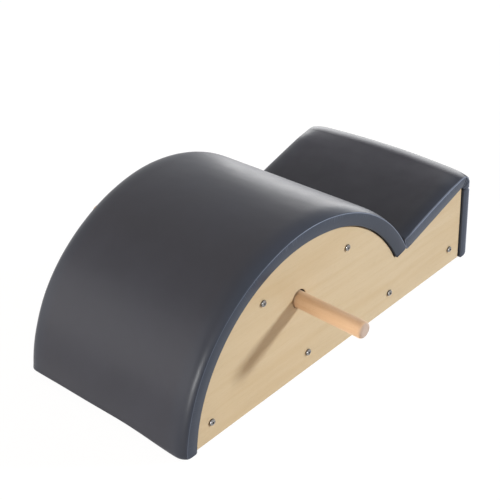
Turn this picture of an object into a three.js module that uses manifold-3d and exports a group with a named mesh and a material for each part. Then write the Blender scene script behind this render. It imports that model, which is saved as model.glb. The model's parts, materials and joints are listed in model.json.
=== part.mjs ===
// Pilates spine corrector: an arched barrel pad, a seat valley and a ramp pad with a padded back,
// carried by two plywood side panels, six cross rails and two removable wooden handles.
// Millimetres, +Z up. X runs from the toe of the barrel to the padded back, Y across the width.
// Outlines are drawn in a side view whose origin is the toe corner of a side panel's lower edge.

import * as THREE from 'three';
import { mergeVertices } from 'three/addons/utils/BufferGeometryUtils.js';
import Module from 'manifold-3d';

const wasm = await Module();
wasm.setup();

// Frame
const frameWidth = 430;
const panelThickness = 18;
const panelEase = 1.5;
const archRadius = 335;
const archCentreDrop = 32.5;
const shelfHeight = 123;
const shelfLength = 27;
const rampRise = 67.5;
const rampAngle = THREE.MathUtils.degToRad(16.44);
const backCornerRadius = 9;
const stripThickness = 2;
const stripSideInset = 4;
const stripEndInset = 8;

// Cross rails and their bolts
const railThickness = 30;
const boltHeight = 41.5;
const toeBoltInset = 48.7;
const seatBoltSetback = 17.7;
const rearBoltInset = 41.2;
const archBoltInset = 45;
const archBoltAngle = THREE.MathUtils.degToRad(26.4);
const boltRadius = 4;
const boltLength = 60;
const boltHeadRadius = 7;
const boltHeadHeight = 4.4;
const boltRimHeight = 1.2;
const boltTipPastNut = 3;
const socketAcrossFlats = 5;
const socketDepth = 2.6;
const crossNutWall = 2;
const crossNutLength = 20;

// Pads
const padOverhang = 6;
const sideDraw = 1.5;
const shadowGap = 2;
const coverThickness = 1.2;
const hemDepth = 18;
const barrelPadHeight = 37;
const rampPadHeight = 35;
const rampPadBow = 2;
const backPadDepth = 22.5;
const barrelBoardThickness = 9;
const rampBoardThickness = 12;
const backBoardThickness = 9;
const barrelEdgeDrop = 8.5;
const rampEdgeDrop = 8;
const backEdgeDrop = 3;
const shoulderWidth = 44;
const barrelEndRadius = 13;
const noseRadius = 32;
const noseLipDrop = 11.5;
const noseOverhang = 4.5;
const padCornerRadius = 8;
const barrelBoardEndMargin = 14;
const rampBoardEndMargin = 16;
const backBoardEndMargin = 12;

// Handles
const handleRadius = 17.5;
const handleReach = 158;
const handleTipRadius = 7;
const handleEndChamfer = 2;
const handleEngagement = 78;
const handleHeight = 182.5;
const handleSetback = 23;
const handlePlay = 1.8;
const socketWall = 18.7;

// Cleats and pad screws
const cleatThickness = 20;
const cleatDepth = 22;
const cleatEndMargin = 6;
const screwRadius = 2.2;
const screwHeadRadius = 4.5;
const screwHeadHeight = 2.8;
const screwPointLength = 6;
const screwGripLength = 24;
const screwTipCover = 1.5;
const counterboreRadius = 6;
const padScrewSpacing = 200;

// How the pads' forms fall away, as shares of the edge drop, the shoulder and the outline's run
const shoulderShares = [[0, 1], [0.12, 0.6], [0.4, 0.22], [1, 0]];
const seatEndDropShare = 0.25;
const seatDropRunShare = 0.15;
const toeEndDropShare = 0.55;
const toeDropRunShare = 0.05;
const rampFootDropShare = 0.5;
const boltDomeShares = [[0.62, 1], [0.86, 0.72]];

// Fits and the fineness of curves
const contactGap = 0.3;
const boreClearance = 0.3;
const foamClearance = 0.75;
const cutOverrun = 2;
const archSteps = 44;
const padSteps = 24;
const rampCrownSteps = 6;
const filletSteps = 4;
const socketSides = 6;
const holeSides = 12;
const boltSides = 16;
const handleSides = 32;

// Sizes that follow from those above
const archCentre = new THREE.Vector2(
  Math.sqrt(archRadius ** 2 - archCentreDrop ** 2), -archCentreDrop);
const valleyTip = circlePointAtHeight(archRadius, shelfHeight, 1);
const rampFoot = new THREE.Vector2(valleyTip.x + shelfLength, shelfHeight);
const frameLength = rampFoot.x + rampRise / Math.tan(rampAngle);
const backHeight = shelfHeight + rampRise;
const rampTop = new THREE.Vector2(frameLength, backHeight);
const rampAlong = new THREE.Vector2(Math.cos(rampAngle), Math.sin(rampAngle));
const rampOut = new THREE.Vector2(-Math.sin(rampAngle), Math.cos(rampAngle));
const backCorner = cornerCentre(frameLength - backCornerRadius, -backCornerRadius);
const panelInnerY = frameWidth / 2 - panelThickness;
const railHalfLength = panelInnerY - contactGap;
const boltTipY = frameWidth / 2 - boltLength;
const crossNutRadius = boltRadius + crossNutWall;
const crossNutY = boltTipY + boltTipPastNut + crossNutRadius;
const padHalfWidth = frameWidth / 2 + padOverhang;
const turnIn = coverThickness + foamClearance;
const boardHalfWidth = padHalfWidth - turnIn - sideDraw;
const hemHalfWidth = panelInnerY + contactGap;
const boardSeatOffset = shadowGap + coverThickness;
const barrelOuterRadius = archRadius + shadowGap + barrelPadHeight;
const noseLipHeight = backHeight - noseLipDrop;
const cleatY = panelInnerY - contactGap - cleatThickness / 2;
const handleBoreRadius = handleRadius + handlePlay;

// Colours and finishes
const finishes = {
  plywood: { color: 0xd6c19d, roughness: 0.55, metalness: 0 },
  pine: { color: 0xcfae7c, roughness: 0.7, metalness: 0 },
  beech: { color: 0xdeb085, roughness: 0.45, metalness: 0 },
  vinyl: { color: 0x44474d, roughness: 0.4, metalness: 0 },
  foam: { color: 0xd9cfa8, roughness: 0.95, metalness: 0 },
  steel: { color: 0xc4c6c8, roughness: 0.25, metalness: 1 },
  rubber: { color: 0x1c1c1e, roughness: 0.85, metalness: 0 },
};

const part = new THREE.Group();
const bench = new THREE.Group();
bench.position.z = stripThickness;
part.add(bench);

// Adds one named piece with its finish, and returns it so that it can be placed.
function addPiece(name, geometry, finish, home = bench) {
  const piece = new THREE.Mesh(geometry, new THREE.MeshStandardMaterial(finishes[finish]));
  piece.name = name;
  home.add(piece);
  return piece;
}

// A point of a circle about the arch centre at a given height, on the toe side (-1) or seat side (1).
function circlePointAtHeight(radius, height, side) {
  const rise = height + archCentreDrop;
  return new THREE.Vector2(archCentre.x + side * Math.sqrt(radius ** 2 - rise ** 2), height);
}

// The point at a given x whose distance out from the ramp line is known.
function cornerCentre(x, distanceOut) {
  const z = rampTop.y + (distanceOut - (x - rampTop.x) * rampOut.x) / rampOut.y;
  return new THREE.Vector2(x, z);
}

// A point reached from the top of the ramp line, along the ramp and out from it.
function rampPoint(along, out) {
  return rampTop.clone().addScaledVector(rampAlong, along).addScaledVector(rampOut, out);
}

// How far along the ramp, from its top, a line at a distance out meets a circle about the arch centre.
function rampReachToCircle(out, radius) {
  const start = rampPoint(0, out).sub(archCentre);
  const along = start.dot(rampAlong);
  return -along + Math.sqrt(along ** 2 - start.lengthSq() + radius ** 2);
}

// Points of an arc about a centre, both ends included.
function arcPoints(centre, radius, from, to, steps) {
  const points = [];
  for (let step = 0; step <= steps; step += 1) {
    const angle = from + ((to - from) * step) / steps;
    points.push(new THREE.Vector2(Math.cos(angle), Math.sin(angle)).multiplyScalar(radius).add(centre));
  }
  return points;
}

// Marks outline points with the direction and the share of the edge drop that they take.
function draw(points, out, share) {
  return points.map((point, index) => ({
    point,
    out: typeof out === 'function' ? out(point) : out,
    share: typeof share === 'function' ? share(index / Math.max(points.length - 1, 1)) : share,
  }));
}

// A closed mesh made a solid for cutting, and a solid made a geometry again.
function toSolid(geometry) {
  const bare = geometry.clone();
  bare.deleteAttribute('normal');
  bare.deleteAttribute('uv');
  const merged = mergeVertices(bare);
  return new wasm.Manifold(new wasm.Mesh({
    numProp: 3,
    vertProperties: new Float32Array(merged.attributes.position.array),
    triVerts: new Uint32Array(merged.index.array),
  }));
}

function toGeometry(solid) {
  const mesh = solid.getMesh();
  const geometry = new THREE.BufferGeometry();
  geometry.setAttribute('position', new THREE.BufferAttribute(new Float32Array(mesh.vertProperties), 3));
  geometry.setIndex(new THREE.BufferAttribute(new Uint32Array(mesh.triVerts), 1));
  geometry.computeVertexNormals();
  return geometry;
}

function cut(geometry, cutters) {
  return toGeometry(cutters.reduce((solid, cutter) => solid.subtract(toSolid(cutter)), toSolid(geometry)));
}

// A side-view outline made a plate across the width, from one y to another.
function plate(outline, fromY, toY, holes = [], ease = 0) {
  const shape = new THREE.Shape(outline);
  shape.holes = holes.map((hole) => new THREE.Path(hole));
  const thickness = toY - fromY;
  const geometry = new THREE.ExtrudeGeometry(shape, {
    depth: thickness - 2 * ease,
    bevelEnabled: ease > 0,
    bevelThickness: ease,
    bevelSize: ease,
    bevelOffset: -ease,
    bevelSegments: 1,
  });
  return geometry.rotateX(Math.PI / 2).translate(0, toY - ease, 0);
}

function circleOutline(centre, radius, sides) {
  return arcPoints(centre, radius, 0, 2 * Math.PI, sides).slice(0, -1);
}

// A round bar between two points of space.
function barBetween(start, end, radius, sides) {
  const span = new THREE.Vector3().subVectors(end, start);
  const middle = new THREE.Vector3().addVectors(start, end).multiplyScalar(1 / 2);
  const turn = new THREE.Quaternion().setFromUnitVectors(
    new THREE.Vector3(0, 1, 0), span.clone().normalize());
  return new THREE.CylinderGeometry(radius, radius, span.length(), sides)
    .applyQuaternion(turn)
    .translate(middle.x, middle.y, middle.z);
}

// A padded form: a side-view outline, set in from the cover's face, carried across the width.
// It falls away over both shoulders, and its sides are drawn in from the ridge down to the base.
function padForm(outlineOf, inset, edgeDrop) {
  const outline = outlineOf(inset);
  const rightSide = shoulderShares.map(([inShare, dropShare]) => ({
    side: -1,
    reach: padHalfWidth - inset - inShare * shoulderWidth,
    draw: dropShare * sideDraw,
    drop: dropShare * edgeDrop,
  }));
  const leftSide = rightSide.map((section) => ({ ...section, side: 1 })).reverse();
  const sections = [...rightSide, ...leftSide];
  const count = outline.length;
  const fallen = ({ point, out, share }, drop) => point.clone().addScaledVector(out, -share * drop);
  const places = sections.flatMap(({ side, reach, draw, drop }) => outline.flatMap((corner) => {
    const place = fallen(corner, drop);
    return [place.x, side * (reach - (1 - corner.share) * draw), place.y];
  }));
  const faces = [];
  for (let section = 0; section < sections.length - 1; section += 1) {
    for (let corner = 0; corner < count; corner += 1) {
      const next = (corner + 1) % count;
      const [near, nearNext] = [section * count + corner, section * count + next];
      const [far, farNext] = [near + count, nearNext + count];
      faces.push(near, farNext, nearNext, near, far, farNext);
    }
  }
  const last = (sections.length - 1) * count;
  const end = outlineOf(0).map((corner) => fallen(corner, edgeDrop));
  for (const [first, second, third] of THREE.ShapeUtils.triangulateShape(end, [])) {
    faces.push(first, second, third, last + first, last + third, last + second);
  }
  const geometry = new THREE.BufferGeometry();
  geometry.setAttribute('position', new THREE.Float32BufferAttribute(places, 3));
  geometry.setIndex(faces);
  return geometry;
}

// Side panels
function panelOutline() {
  const tipAngle = Math.atan2(valleyTip.y - archCentre.y, valleyTip.x - archCentre.x);
  const toeAngle = Math.PI - Math.asin(archCentreDrop / archRadius);
  const arch = arcPoints(archCentre, archRadius, tipAngle, toeAngle, archSteps);
  const corner = arcPoints(backCorner, backCornerRadius, 0, Math.PI / 2 + rampAngle, filletSteps);
  return [new THREE.Vector2(frameLength, 0), ...corner, rampFoot, ...arch];
}

// Where each cross rail's bolts pass, and how far the rail is turned from upright.
const archBoltReach = archRadius - archBoltInset;
const archRailPlace = (side) => ({
  x: archCentre.x + side * archBoltReach * Math.sin(archBoltAngle),
  z: archCentre.y + archBoltReach * Math.cos(archBoltAngle),
  lean: side * archBoltAngle,
});
const railPlaces = {
  toe: { x: toeBoltInset, z: boltHeight, lean: 0 },
  middle: { x: archCentre.x, z: boltHeight, lean: 0 },
  seat: { x: valleyTip.x - seatBoltSetback, z: boltHeight, lean: 0 },
  rear: { x: frameLength - rearBoltInset, z: boltHeight, lean: 0 },
  front_arch: archRailPlace(-1),
  rear_arch: archRailPlace(1),
};
const handlePlace = new THREE.Vector2(archCentre.x - handleSetback, handleHeight);
const sides = { left: 1, right: -1 };

function addSidePanels() {
  const boltHoles = Object.values(railPlaces).map(({ x, z }) => (
    circleOutline(new THREE.Vector2(x, z), boltRadius + boreClearance, holeSides)));
  const handleHole = circleOutline(handlePlace, handleBoreRadius, handleSides);
  for (const [side, sign] of Object.entries(sides)) {
    const [nearY, farY] = [panelInnerY, frameWidth / 2].map((y) => y * sign).sort((a, b) => a - b);
    const panel = plate(panelOutline(), nearY, farY, [...boltHoles, handleHole], panelEase);
    addPiece(`side_panel_${side}`, panel, 'plywood');
    const strip = new THREE.BoxGeometry(
      frameLength - 2 * stripEndInset, panelThickness - 2 * stripSideInset, stripThickness - contactGap / 2);
    addPiece(`anti_slip_strip_${side}`, strip, 'rubber').position.set(
      frameLength / 2, sign * (panelInnerY + panelThickness / 2), -(stripThickness + contactGap / 2) / 2);
  }
}

// Cross rails with their bolts and cross nuts
function boltGeometry() {
  const profile = [
    new THREE.Vector2(0, boltHeadHeight),
    ...boltDomeShares.map(([across, up]) => new THREE.Vector2(
      across * boltHeadRadius, boltRimHeight + up * (boltHeadHeight - boltRimHeight))),
    new THREE.Vector2(boltHeadRadius, boltRimHeight),
    new THREE.Vector2(boltHeadRadius, 0),
    new THREE.Vector2(boltRadius, 0),
    new THREE.Vector2(boltRadius, -boltLength),
    new THREE.Vector2(0, -boltLength),
  ].reverse();
  const socketRadius = socketAcrossFlats / Math.sqrt(3);
  const socket = new THREE.CylinderGeometry(
    socketRadius, socketRadius, socketDepth + cutOverrun, socketSides)
    .translate(0, boltHeadHeight + (cutOverrun - socketDepth) / 2, 0);
  return cut(new THREE.LatheGeometry(profile, boltSides), [socket]);
}

function crossNutGeometry() {
  const nut = new THREE.CylinderGeometry(crossNutRadius, crossNutRadius, crossNutLength, holeSides)
    .rotateZ(Math.PI / 2);
  const reach = crossNutRadius + cutOverrun;
  const thread = barBetween(
    new THREE.Vector3(0, -reach, 0), new THREE.Vector3(0, reach, 0),
    boltRadius + boreClearance, holeSides);
  return cut(nut, [thread]);
}

function railGeometry(top, bottom, padScrewHoles) {
  const height = top - bottom;
  const rail = new THREE.BoxGeometry(railThickness, 2 * railHalfLength, height)
    .translate(0, 0, bottom + height / 2);
  const cutters = Object.values(sides).flatMap((sign) => [
    barBetween(
      new THREE.Vector3(0, sign * (boltTipY - cutOverrun), 0),
      new THREE.Vector3(0, sign * (railHalfLength + cutOverrun), 0),
      boltRadius + boreClearance, holeSides),
    barBetween(
      new THREE.Vector3(-railThickness / 2 - cutOverrun, sign * crossNutY, 0),
      new THREE.Vector3(railThickness / 2 + cutOverrun, sign * crossNutY, 0),
      crossNutRadius + boreClearance, holeSides),
    ...padScrewHoles.map(({ radius, from, to }) => barBetween(
      new THREE.Vector3(0, (sign * padScrewSpacing) / 2, from),
      new THREE.Vector3(0, (sign * padScrewSpacing) / 2, to),
      radius, holeSides)),
  ]);
  return cut(rail, cutters);
}

function addRails() {
  const archTop = Math.sqrt((archRadius + boardSeatOffset) ** 2 - (railThickness / 2) ** 2) - archBoltReach;
  const screwSeat = archTop - screwGripLength;
  const archScrewHoles = [
    { radius: screwRadius + boreClearance, from: screwSeat - cutOverrun, to: archTop + cutOverrun },
    { radius: counterboreRadius, from: -archTop - cutOverrun, to: screwSeat },
  ];
  for (const [name, { x, z, lean }] of Object.entries(railPlaces)) {
    const isArch = name.endsWith('arch');
    const rail = isArch ? railGeometry(archTop, -archTop, archScrewHoles)
      : railGeometry(boltHeight, -boltHeight + contactGap, []);
    const rig = new THREE.Group();
    rig.position.set(x, 0, z);
    rig.rotation.y = lean;
    bench.add(rig);
    addPiece(`${name}_rail`, rail, 'pine', rig);
    for (const [side, sign] of Object.entries(sides)) {
      const bolt = addPiece(`frame_bolt_${name}_${side}`, boltGeometry(), 'steel', rig);
      bolt.rotation.x = sign > 0 ? 0 : Math.PI;
      bolt.position.y = sign * (frameWidth / 2 + contactGap);
      const nut = addPiece(`cross_nut_${name}_${side}`, crossNutGeometry(), 'steel', rig);
      nut.position.y = sign * crossNutY;
      if (isArch) {
        const screw = addPiece(`${name}_pad_screw_${side}`,
          screwGeometry(screwGripLength, barrelBoardThickness), 'steel', rig);
        screw.position.set(0, (sign * padScrewSpacing) / 2, screwSeat - contactGap);
      }
    }
  }
}

// A wood screw with its point up and the underside of its head at the origin. It grips one piece
// and bites into a board, whose far face it stays under.
function screwGeometry(grip, boardThickness) {
  const length = grip + boardThickness - screwTipCover;
  const profile = [
    new THREE.Vector2(0, -screwHeadHeight),
    new THREE.Vector2(screwHeadRadius, -screwHeadHeight),
    new THREE.Vector2(screwHeadRadius, 0),
    new THREE.Vector2(screwRadius, 0),
    new THREE.Vector2(screwRadius, length - screwPointLength),
    new THREE.Vector2(0, length),
  ];
  return new THREE.LatheGeometry(profile, holeSides).rotateX(Math.PI / 2);
}

// Barrel pad: a bent plywood board, foam and a cover that turns in under the board.
function barrelFillet(height, radius, side) {
  const reach = Math.sqrt(
    (barrelOuterRadius - radius) ** 2 - (height + radius - archCentre.y) ** 2);
  return new THREE.Vector2(archCentre.x + side * reach, height + radius);
}

function barrelPadOutline(inset) {
  const [outer, inner] = [barrelOuterRadius - inset, archRadius + shadowGap + inset];
  const [seatEnd, toeEnd] = [shelfHeight + shadowGap / 2 + inset, inset];
  const radius = barrelEndRadius - inset;
  const seatFillet = barrelFillet(shelfHeight + shadowGap / 2, barrelEndRadius, 1);
  const toeFillet = barrelFillet(0, barrelEndRadius, -1);
  const angleOf = (point) => Math.atan2(point.y - archCentre.y, point.x - archCentre.x);
  const away = (point) => point.clone().sub(archCentre).normalize();
  const crownShare = (along) => Math.min(1,
    seatEndDropShare + ((1 - seatEndDropShare) * along) / seatDropRunShare,
    toeEndDropShare + ((1 - toeEndDropShare) * (1 - along)) / toeDropRunShare);
  const innerSeat = circlePointAtHeight(inner, seatEnd, 1);
  const innerToe = circlePointAtHeight(inner, toeEnd, -1);
  return [
    ...draw(arcPoints(seatFillet, radius, -Math.PI / 2, angleOf(seatFillet), filletSteps).slice(0, -1),
      away, (along) => seatEndDropShare * along),
    ...draw(arcPoints(archCentre, outer, angleOf(seatFillet), angleOf(toeFillet), padSteps),
      away, crownShare),
    ...draw(arcPoints(toeFillet, radius, angleOf(toeFillet), (3 * Math.PI) / 2, filletSteps).slice(1),
      away, (along) => toeEndDropShare * (1 - along)),
    ...draw(arcPoints(archCentre, inner, angleOf(innerToe), angleOf(innerSeat), padSteps), away, 0),
  ];
}

// A sector of a ring about the arch centre, between two angles.
function ringSector(inner, outer, from, to, halfWidth) {
  const outline = [
    ...arcPoints(archCentre, outer, from, to, archSteps),
    ...arcPoints(archCentre, inner, to, from, archSteps),
  ];
  return plate(outline, -halfWidth, halfWidth);
}

function addBarrelPad() {
  const boardInner = archRadius + boardSeatOffset + contactGap;
  const boardOuter = boardInner + barrelBoardThickness;
  const marginAngle = barrelBoardEndMargin / boardInner;
  const heightAngle = (height) => Math.asin((height + archCentreDrop) / boardInner);
  const from = heightAngle(shelfHeight) + marginAngle;
  const to = Math.PI - heightAngle(0) - marginAngle;
  const board = ringSector(boardInner, boardOuter, from, to, boardHalfWidth);
  const pilots = ['front_arch', 'rear_arch'].flatMap((name) => Object.values(sides).map((sign) => {
    const out = new THREE.Vector2(Math.sin(railPlaces[name].lean), Math.cos(railPlaces[name].lean));
    const [low, high] = [boardInner - cutOverrun, boardOuter - screwTipCover + contactGap]
      .map((reach) => out.clone().multiplyScalar(reach).add(archCentre));
    const y = (sign * padScrewSpacing) / 2;
    return barBetween(new THREE.Vector3(low.x, y, low.y), new THREE.Vector3(high.x, y, high.y),
      screwRadius + boreClearance, holeSides);
  }));
  addPiece('barrel_board', cut(board, pilots), 'plywood');
  const hollow = padForm(barrelPadOutline, coverThickness, barrelEdgeDrop);
  const foam = padForm(barrelPadOutline, turnIn, barrelEdgeDrop);
  const pocketMargin = contactGap / boardInner;
  const pocket = ringSector(archRadius, boardOuter + contactGap,
    from - pocketMargin, to + pocketMargin, padHalfWidth);
  addPiece('barrel_foam', cut(foam, [pocket]), 'foam');
  const hemAngle = hemDepth / boardInner;
  const opening = ringSector(archRadius, boardInner + contactGap,
    heightAngle(shelfHeight) + hemAngle, Math.PI - heightAngle(0) - hemAngle, hemHalfWidth);
  const skin = padForm(barrelPadOutline, 0, barrelEdgeDrop);
  addPiece('barrel_cover', cut(skin, [hollow, opening]), 'vinyl');
}

// Ramp pad: a flat board, foam that rolls over the top corner, and a cover.
function rampPadOutline(inset) {
  const base = shadowGap + inset;
  const crown = shadowGap + rampPadHeight - inset;
  const noseX = frameLength + shadowGap + backPadDepth + noseOverhang - inset;
  const lip = noseLipHeight + inset;
  const wrapRadius = backCornerRadius + base;
  const seatRadius = barrelOuterRadius + 2 * contactGap + inset;
  const radius = noseRadius - inset;
  const nose = cornerCentre(noseX - radius, crown - radius);
  const lipRadius = padCornerRadius - inset;
  const crownFoot = rampReachToCircle(crown, seatRadius);
  const baseFoot = rampReachToCircle(base, seatRadius);
  const crownTop = nose.clone().sub(rampTop).dot(rampAlong);
  const bow = (share) => rampPadBow * (1 - (2 * share - 1) ** 2);
  const crownPoints = [];
  for (let step = 1; step < rampCrownSteps; step += 1) {
    const share = step / rampCrownSteps;
    crownPoints.push(rampPoint(crownTop + (crownFoot - crownTop) * share, crown + bow(share)));
  }
  const angleOf = (point) => Math.atan2(point.y - archCentre.y, point.x - archCentre.x);
  const upright = Math.PI / 2 + rampAngle;
  const lipAngle = Math.asin((lip - backCorner.y) / wrapRadius);
  return [
    ...draw([rampPoint(baseFoot, base)], rampOut, 0),
    ...draw(arcPoints(backCorner, wrapRadius, upright, lipAngle, filletSteps), rampOut, 0),
    ...draw(arcPoints(new THREE.Vector2(noseX - lipRadius, lip + lipRadius), lipRadius,
      -Math.PI / 2, 0, filletSteps), rampOut, 0),
    ...draw(arcPoints(nose, radius, 0, upright, filletSteps), rampOut, (along) => along),
    ...draw(crownPoints, rampOut, 1),
    ...draw(arcPoints(archCentre, seatRadius, angleOf(rampPoint(crownFoot, crown)),
      angleOf(rampPoint(baseFoot, base)), filletSteps).slice(0, -1),
    rampOut, (along) => rampFootDropShare * (1 - along)),
  ];
}

// A flat slab laid along the ramp, between two distances from its top and two distances out.
function rampSlab(fromAlong, toAlong, fromOut, toOut, nearY, farY) {
  const outline = [
    rampPoint(fromAlong, fromOut), rampPoint(toAlong, fromOut),
    rampPoint(toAlong, toOut), rampPoint(fromAlong, toOut),
  ];
  return plate(outline, nearY, farY);
}

function addRampPad() {
  const boardOut = boardSeatOffset + contactGap;
  const foot = rampReachToCircle(boardOut, barrelOuterRadius) + rampBoardEndMargin;
  const top = -backCornerRadius;
  const screwAlong = (foot + top) / 2;
  const slab = (grow, floor, halfWidth) => rampSlab(
    foot - grow, top + grow, floor, boardOut + rampBoardThickness + grow, -halfWidth, halfWidth);
  const rampHole = (sign, radius, fromOut, toOut) => {
    const [low, high] = [fromOut, toOut].map((out) => rampPoint(screwAlong, out));
    return barBetween(new THREE.Vector3(low.x, sign * cleatY, low.y),
      new THREE.Vector3(high.x, sign * cleatY, high.y), radius, holeSides);
  };
  const pilotEnd = boardOut + rampBoardThickness - screwTipCover + contactGap;
  const pilots = Object.values(sides).map((sign) => (
    rampHole(sign, screwRadius + boreClearance, 0, pilotEnd)));
  addPiece('ramp_board', cut(slab(0, boardOut, boardHalfWidth), pilots), 'plywood');
  const foam = padForm(rampPadOutline, turnIn, rampEdgeDrop);
  addPiece('ramp_foam', cut(foam, [slab(contactGap, 0, padHalfWidth)]), 'foam');
  const skin = padForm(rampPadOutline, 0, rampEdgeDrop);
  const hollow = padForm(rampPadOutline, coverThickness, rampEdgeDrop);
  const [openingFoot, openingTop] = [foot + hemDepth, top - hemDepth];
  const opening = rampSlab(openingFoot, openingTop,
    0, boardOut + contactGap, -hemHalfWidth, hemHalfWidth);
  addPiece('ramp_cover', cut(skin, [hollow, opening]), 'vinyl');
  for (const [side, sign] of Object.entries(sides)) {
    const cleatTop = boardOut - contactGap;
    const [nearY, farY] = [cleatY - cleatThickness / 2, cleatY + cleatThickness / 2]
      .map((y) => y * sign).sort((a, b) => a - b);
    const cleat = rampSlab(openingFoot + cleatEndMargin, openingTop - cleatEndMargin,
      cleatTop - cleatDepth, cleatTop, nearY, farY);
    const hole = rampHole(sign, screwRadius + boreClearance, -cleatDepth - cutOverrun, cutOverrun + cleatTop);
    addPiece(`ramp_cleat_${side}`, cut(cleat, [hole]), 'pine');
    const screw = addPiece(`ramp_pad_screw_${side}`, screwGeometry(cleatDepth, rampBoardThickness), 'steel');
    const seat = rampPoint(screwAlong, cleatTop - cleatDepth - contactGap);
    screw.position.set(seat.x, sign * cleatY, seat.y);
    screw.rotation.y = -rampAngle;
  }
}

// Back pad: an upright board with thin foam and a cover.
function backPadOutline(inset) {
  const [inner, outer] = [frameLength + shadowGap + inset, frameLength + shadowGap + backPadDepth - inset];
  const [low, high] = [inset, noseLipHeight - 2 * contactGap - inset];
  const radius = padCornerRadius - inset;
  const away = new THREE.Vector2(1, 0);
  return [
    ...draw([new THREE.Vector2(inner, low)], away, 0),
    ...draw(arcPoints(new THREE.Vector2(outer - radius, low + radius), radius,
      -Math.PI / 2, 0, filletSteps), away, 1),
    ...draw(arcPoints(new THREE.Vector2(outer - radius, high - radius), radius,
      0, Math.PI / 2, filletSteps), away, 1),
    ...draw([new THREE.Vector2(inner, high)], away, 0),
  ];
}

function addBackPad() {
  const boardX = frameLength + boardSeatOffset + contactGap;
  const [low, high] = [backBoardEndMargin, noseLipHeight - backBoardEndMargin];
  const slab = (fromX, grow, halfWidth) => {
    const [nearX, farX] = [fromX, boardX + backBoardThickness + grow];
    const outline = [
      new THREE.Vector2(nearX, low - grow), new THREE.Vector2(farX, low - grow),
      new THREE.Vector2(farX, high + grow), new THREE.Vector2(nearX, high + grow),
    ];
    return plate(outline, -halfWidth, halfWidth);
  };
  const [openingFoot, openingTop] = [low + hemDepth, high - hemDepth];
  const [cleatFoot, cleatTop] = [2 * boltHeight + cleatEndMargin, openingTop - cleatEndMargin];
  const screwZ = (cleatFoot + cleatTop) / 2;
  const backHole = (sign, fromX, toX) => barBetween(
    new THREE.Vector3(fromX, sign * cleatY, screwZ), new THREE.Vector3(toX, sign * cleatY, screwZ),
    screwRadius + boreClearance, holeSides);
  const pilots = Object.values(sides).map((sign) => (
    backHole(sign, frameLength, boardX + backBoardThickness - screwTipCover + contactGap)));
  addPiece('back_board', cut(slab(boardX, 0, boardHalfWidth), pilots), 'plywood');
  const foam = padForm(backPadOutline, turnIn, backEdgeDrop);
  addPiece('back_foam', cut(foam, [slab(frameLength, contactGap, padHalfWidth)]), 'foam');
  const skin = padForm(backPadOutline, 0, backEdgeDrop);
  const hollow = padForm(backPadOutline, coverThickness, backEdgeDrop);
  const opening = new THREE.BoxGeometry(2 * boardSeatOffset, 2 * hemHalfWidth, openingTop - openingFoot)
    .translate(frameLength + boardSeatOffset - contactGap, 0, (openingFoot + openingTop) / 2);
  addPiece('back_cover', cut(skin, [hollow, opening]), 'vinyl');
  for (const [side, sign] of Object.entries(sides)) {
    const cleatX = boardX - contactGap;
    const cleat = new THREE.BoxGeometry(cleatDepth, cleatThickness, cleatTop - cleatFoot)
      .translate(cleatX - cleatDepth / 2, sign * cleatY, screwZ);
    const hole = backHole(sign, cleatX - cleatDepth - cutOverrun, cleatX + cutOverrun);
    addPiece(`back_cleat_${side}`, cut(cleat, [hole]), 'pine');
    const screw = addPiece(`back_pad_screw_${side}`, screwGeometry(cleatDepth, backBoardThickness), 'steel');
    screw.position.set(cleatX - cleatDepth - contactGap, sign * cleatY, screwZ);
    screw.rotation.y = Math.PI / 2;
  }
}

// Handles: turned pegs that hang a little in the clearance of their sockets and pull straight out.
function addHandles() {
  const depth = handleEngagement - panelThickness - contactGap;
  const half = handleBoreRadius + socketWall;
  const block = [[-1, -1], [1, -1], [1, 1], [-1, 1]].map(([across, up]) => (
    new THREE.Vector2(handlePlace.x + across * half, handlePlace.y + up * half)));
  const bore = circleOutline(handlePlace, handleBoreRadius, handleSides);
  const droop = Math.atan((handlePlay - contactGap) / (handleEngagement / 2));
  const tip = arcPoints(
    new THREE.Vector2(handleRadius - handleTipRadius, handleEngagement / 2 + handleReach - handleTipRadius),
    handleTipRadius, 0, Math.PI / 2, filletSteps);
  const innerEnd = -handleEngagement / 2;
  const profile = [
    new THREE.Vector2(0, innerEnd),
    new THREE.Vector2(handleRadius - handleEndChamfer, innerEnd),
    new THREE.Vector2(handleRadius, innerEnd + handleEndChamfer),
    ...tip,
    new THREE.Vector2(0, handleEngagement / 2 + handleReach),
  ];
  for (const [side, sign] of Object.entries(sides)) {
    const [nearY, farY] = [panelInnerY - contactGap - depth, panelInnerY - contactGap]
      .map((y) => y * sign).sort((a, b) => a - b);
    addPiece(`handle_socket_${side}`, plate(block, nearY, farY, [bore]), 'pine');
    const handle = addPiece(`handle_${side}`, new THREE.LatheGeometry(profile, handleSides), 'beech');
    handle.position.set(handlePlace.x, sign * (frameWidth / 2 - handleEngagement / 2), handlePlace.y);
    handle.rotation.x = sign > 0 ? -droop : Math.PI + droop;
  }
}

addSidePanels();
addRails();
addBarrelPad();
addRampPad();
addBackPad();
addHandles();

// The origin is the middle of the footprint, on the floor.
const extent = new THREE.Box3().setFromObject(part);
part.position.x = -(extent.min.x + extent.max.x) / 2;

export default part;
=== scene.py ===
"""Pilates spine corrector: its pads, timber, hardware and studio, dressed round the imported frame.

Metres, +Z up. X runs from the toe of the barrel to the padded back, Y across the width, and the
right side panel, at negative Y, is the one that faces the camera.
"""

import json
import math

import bmesh
import bpy
from bpy.props import FloatProperty, FloatVectorProperty, PointerProperty
from mathutils import Matrix, Vector, noise


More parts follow.
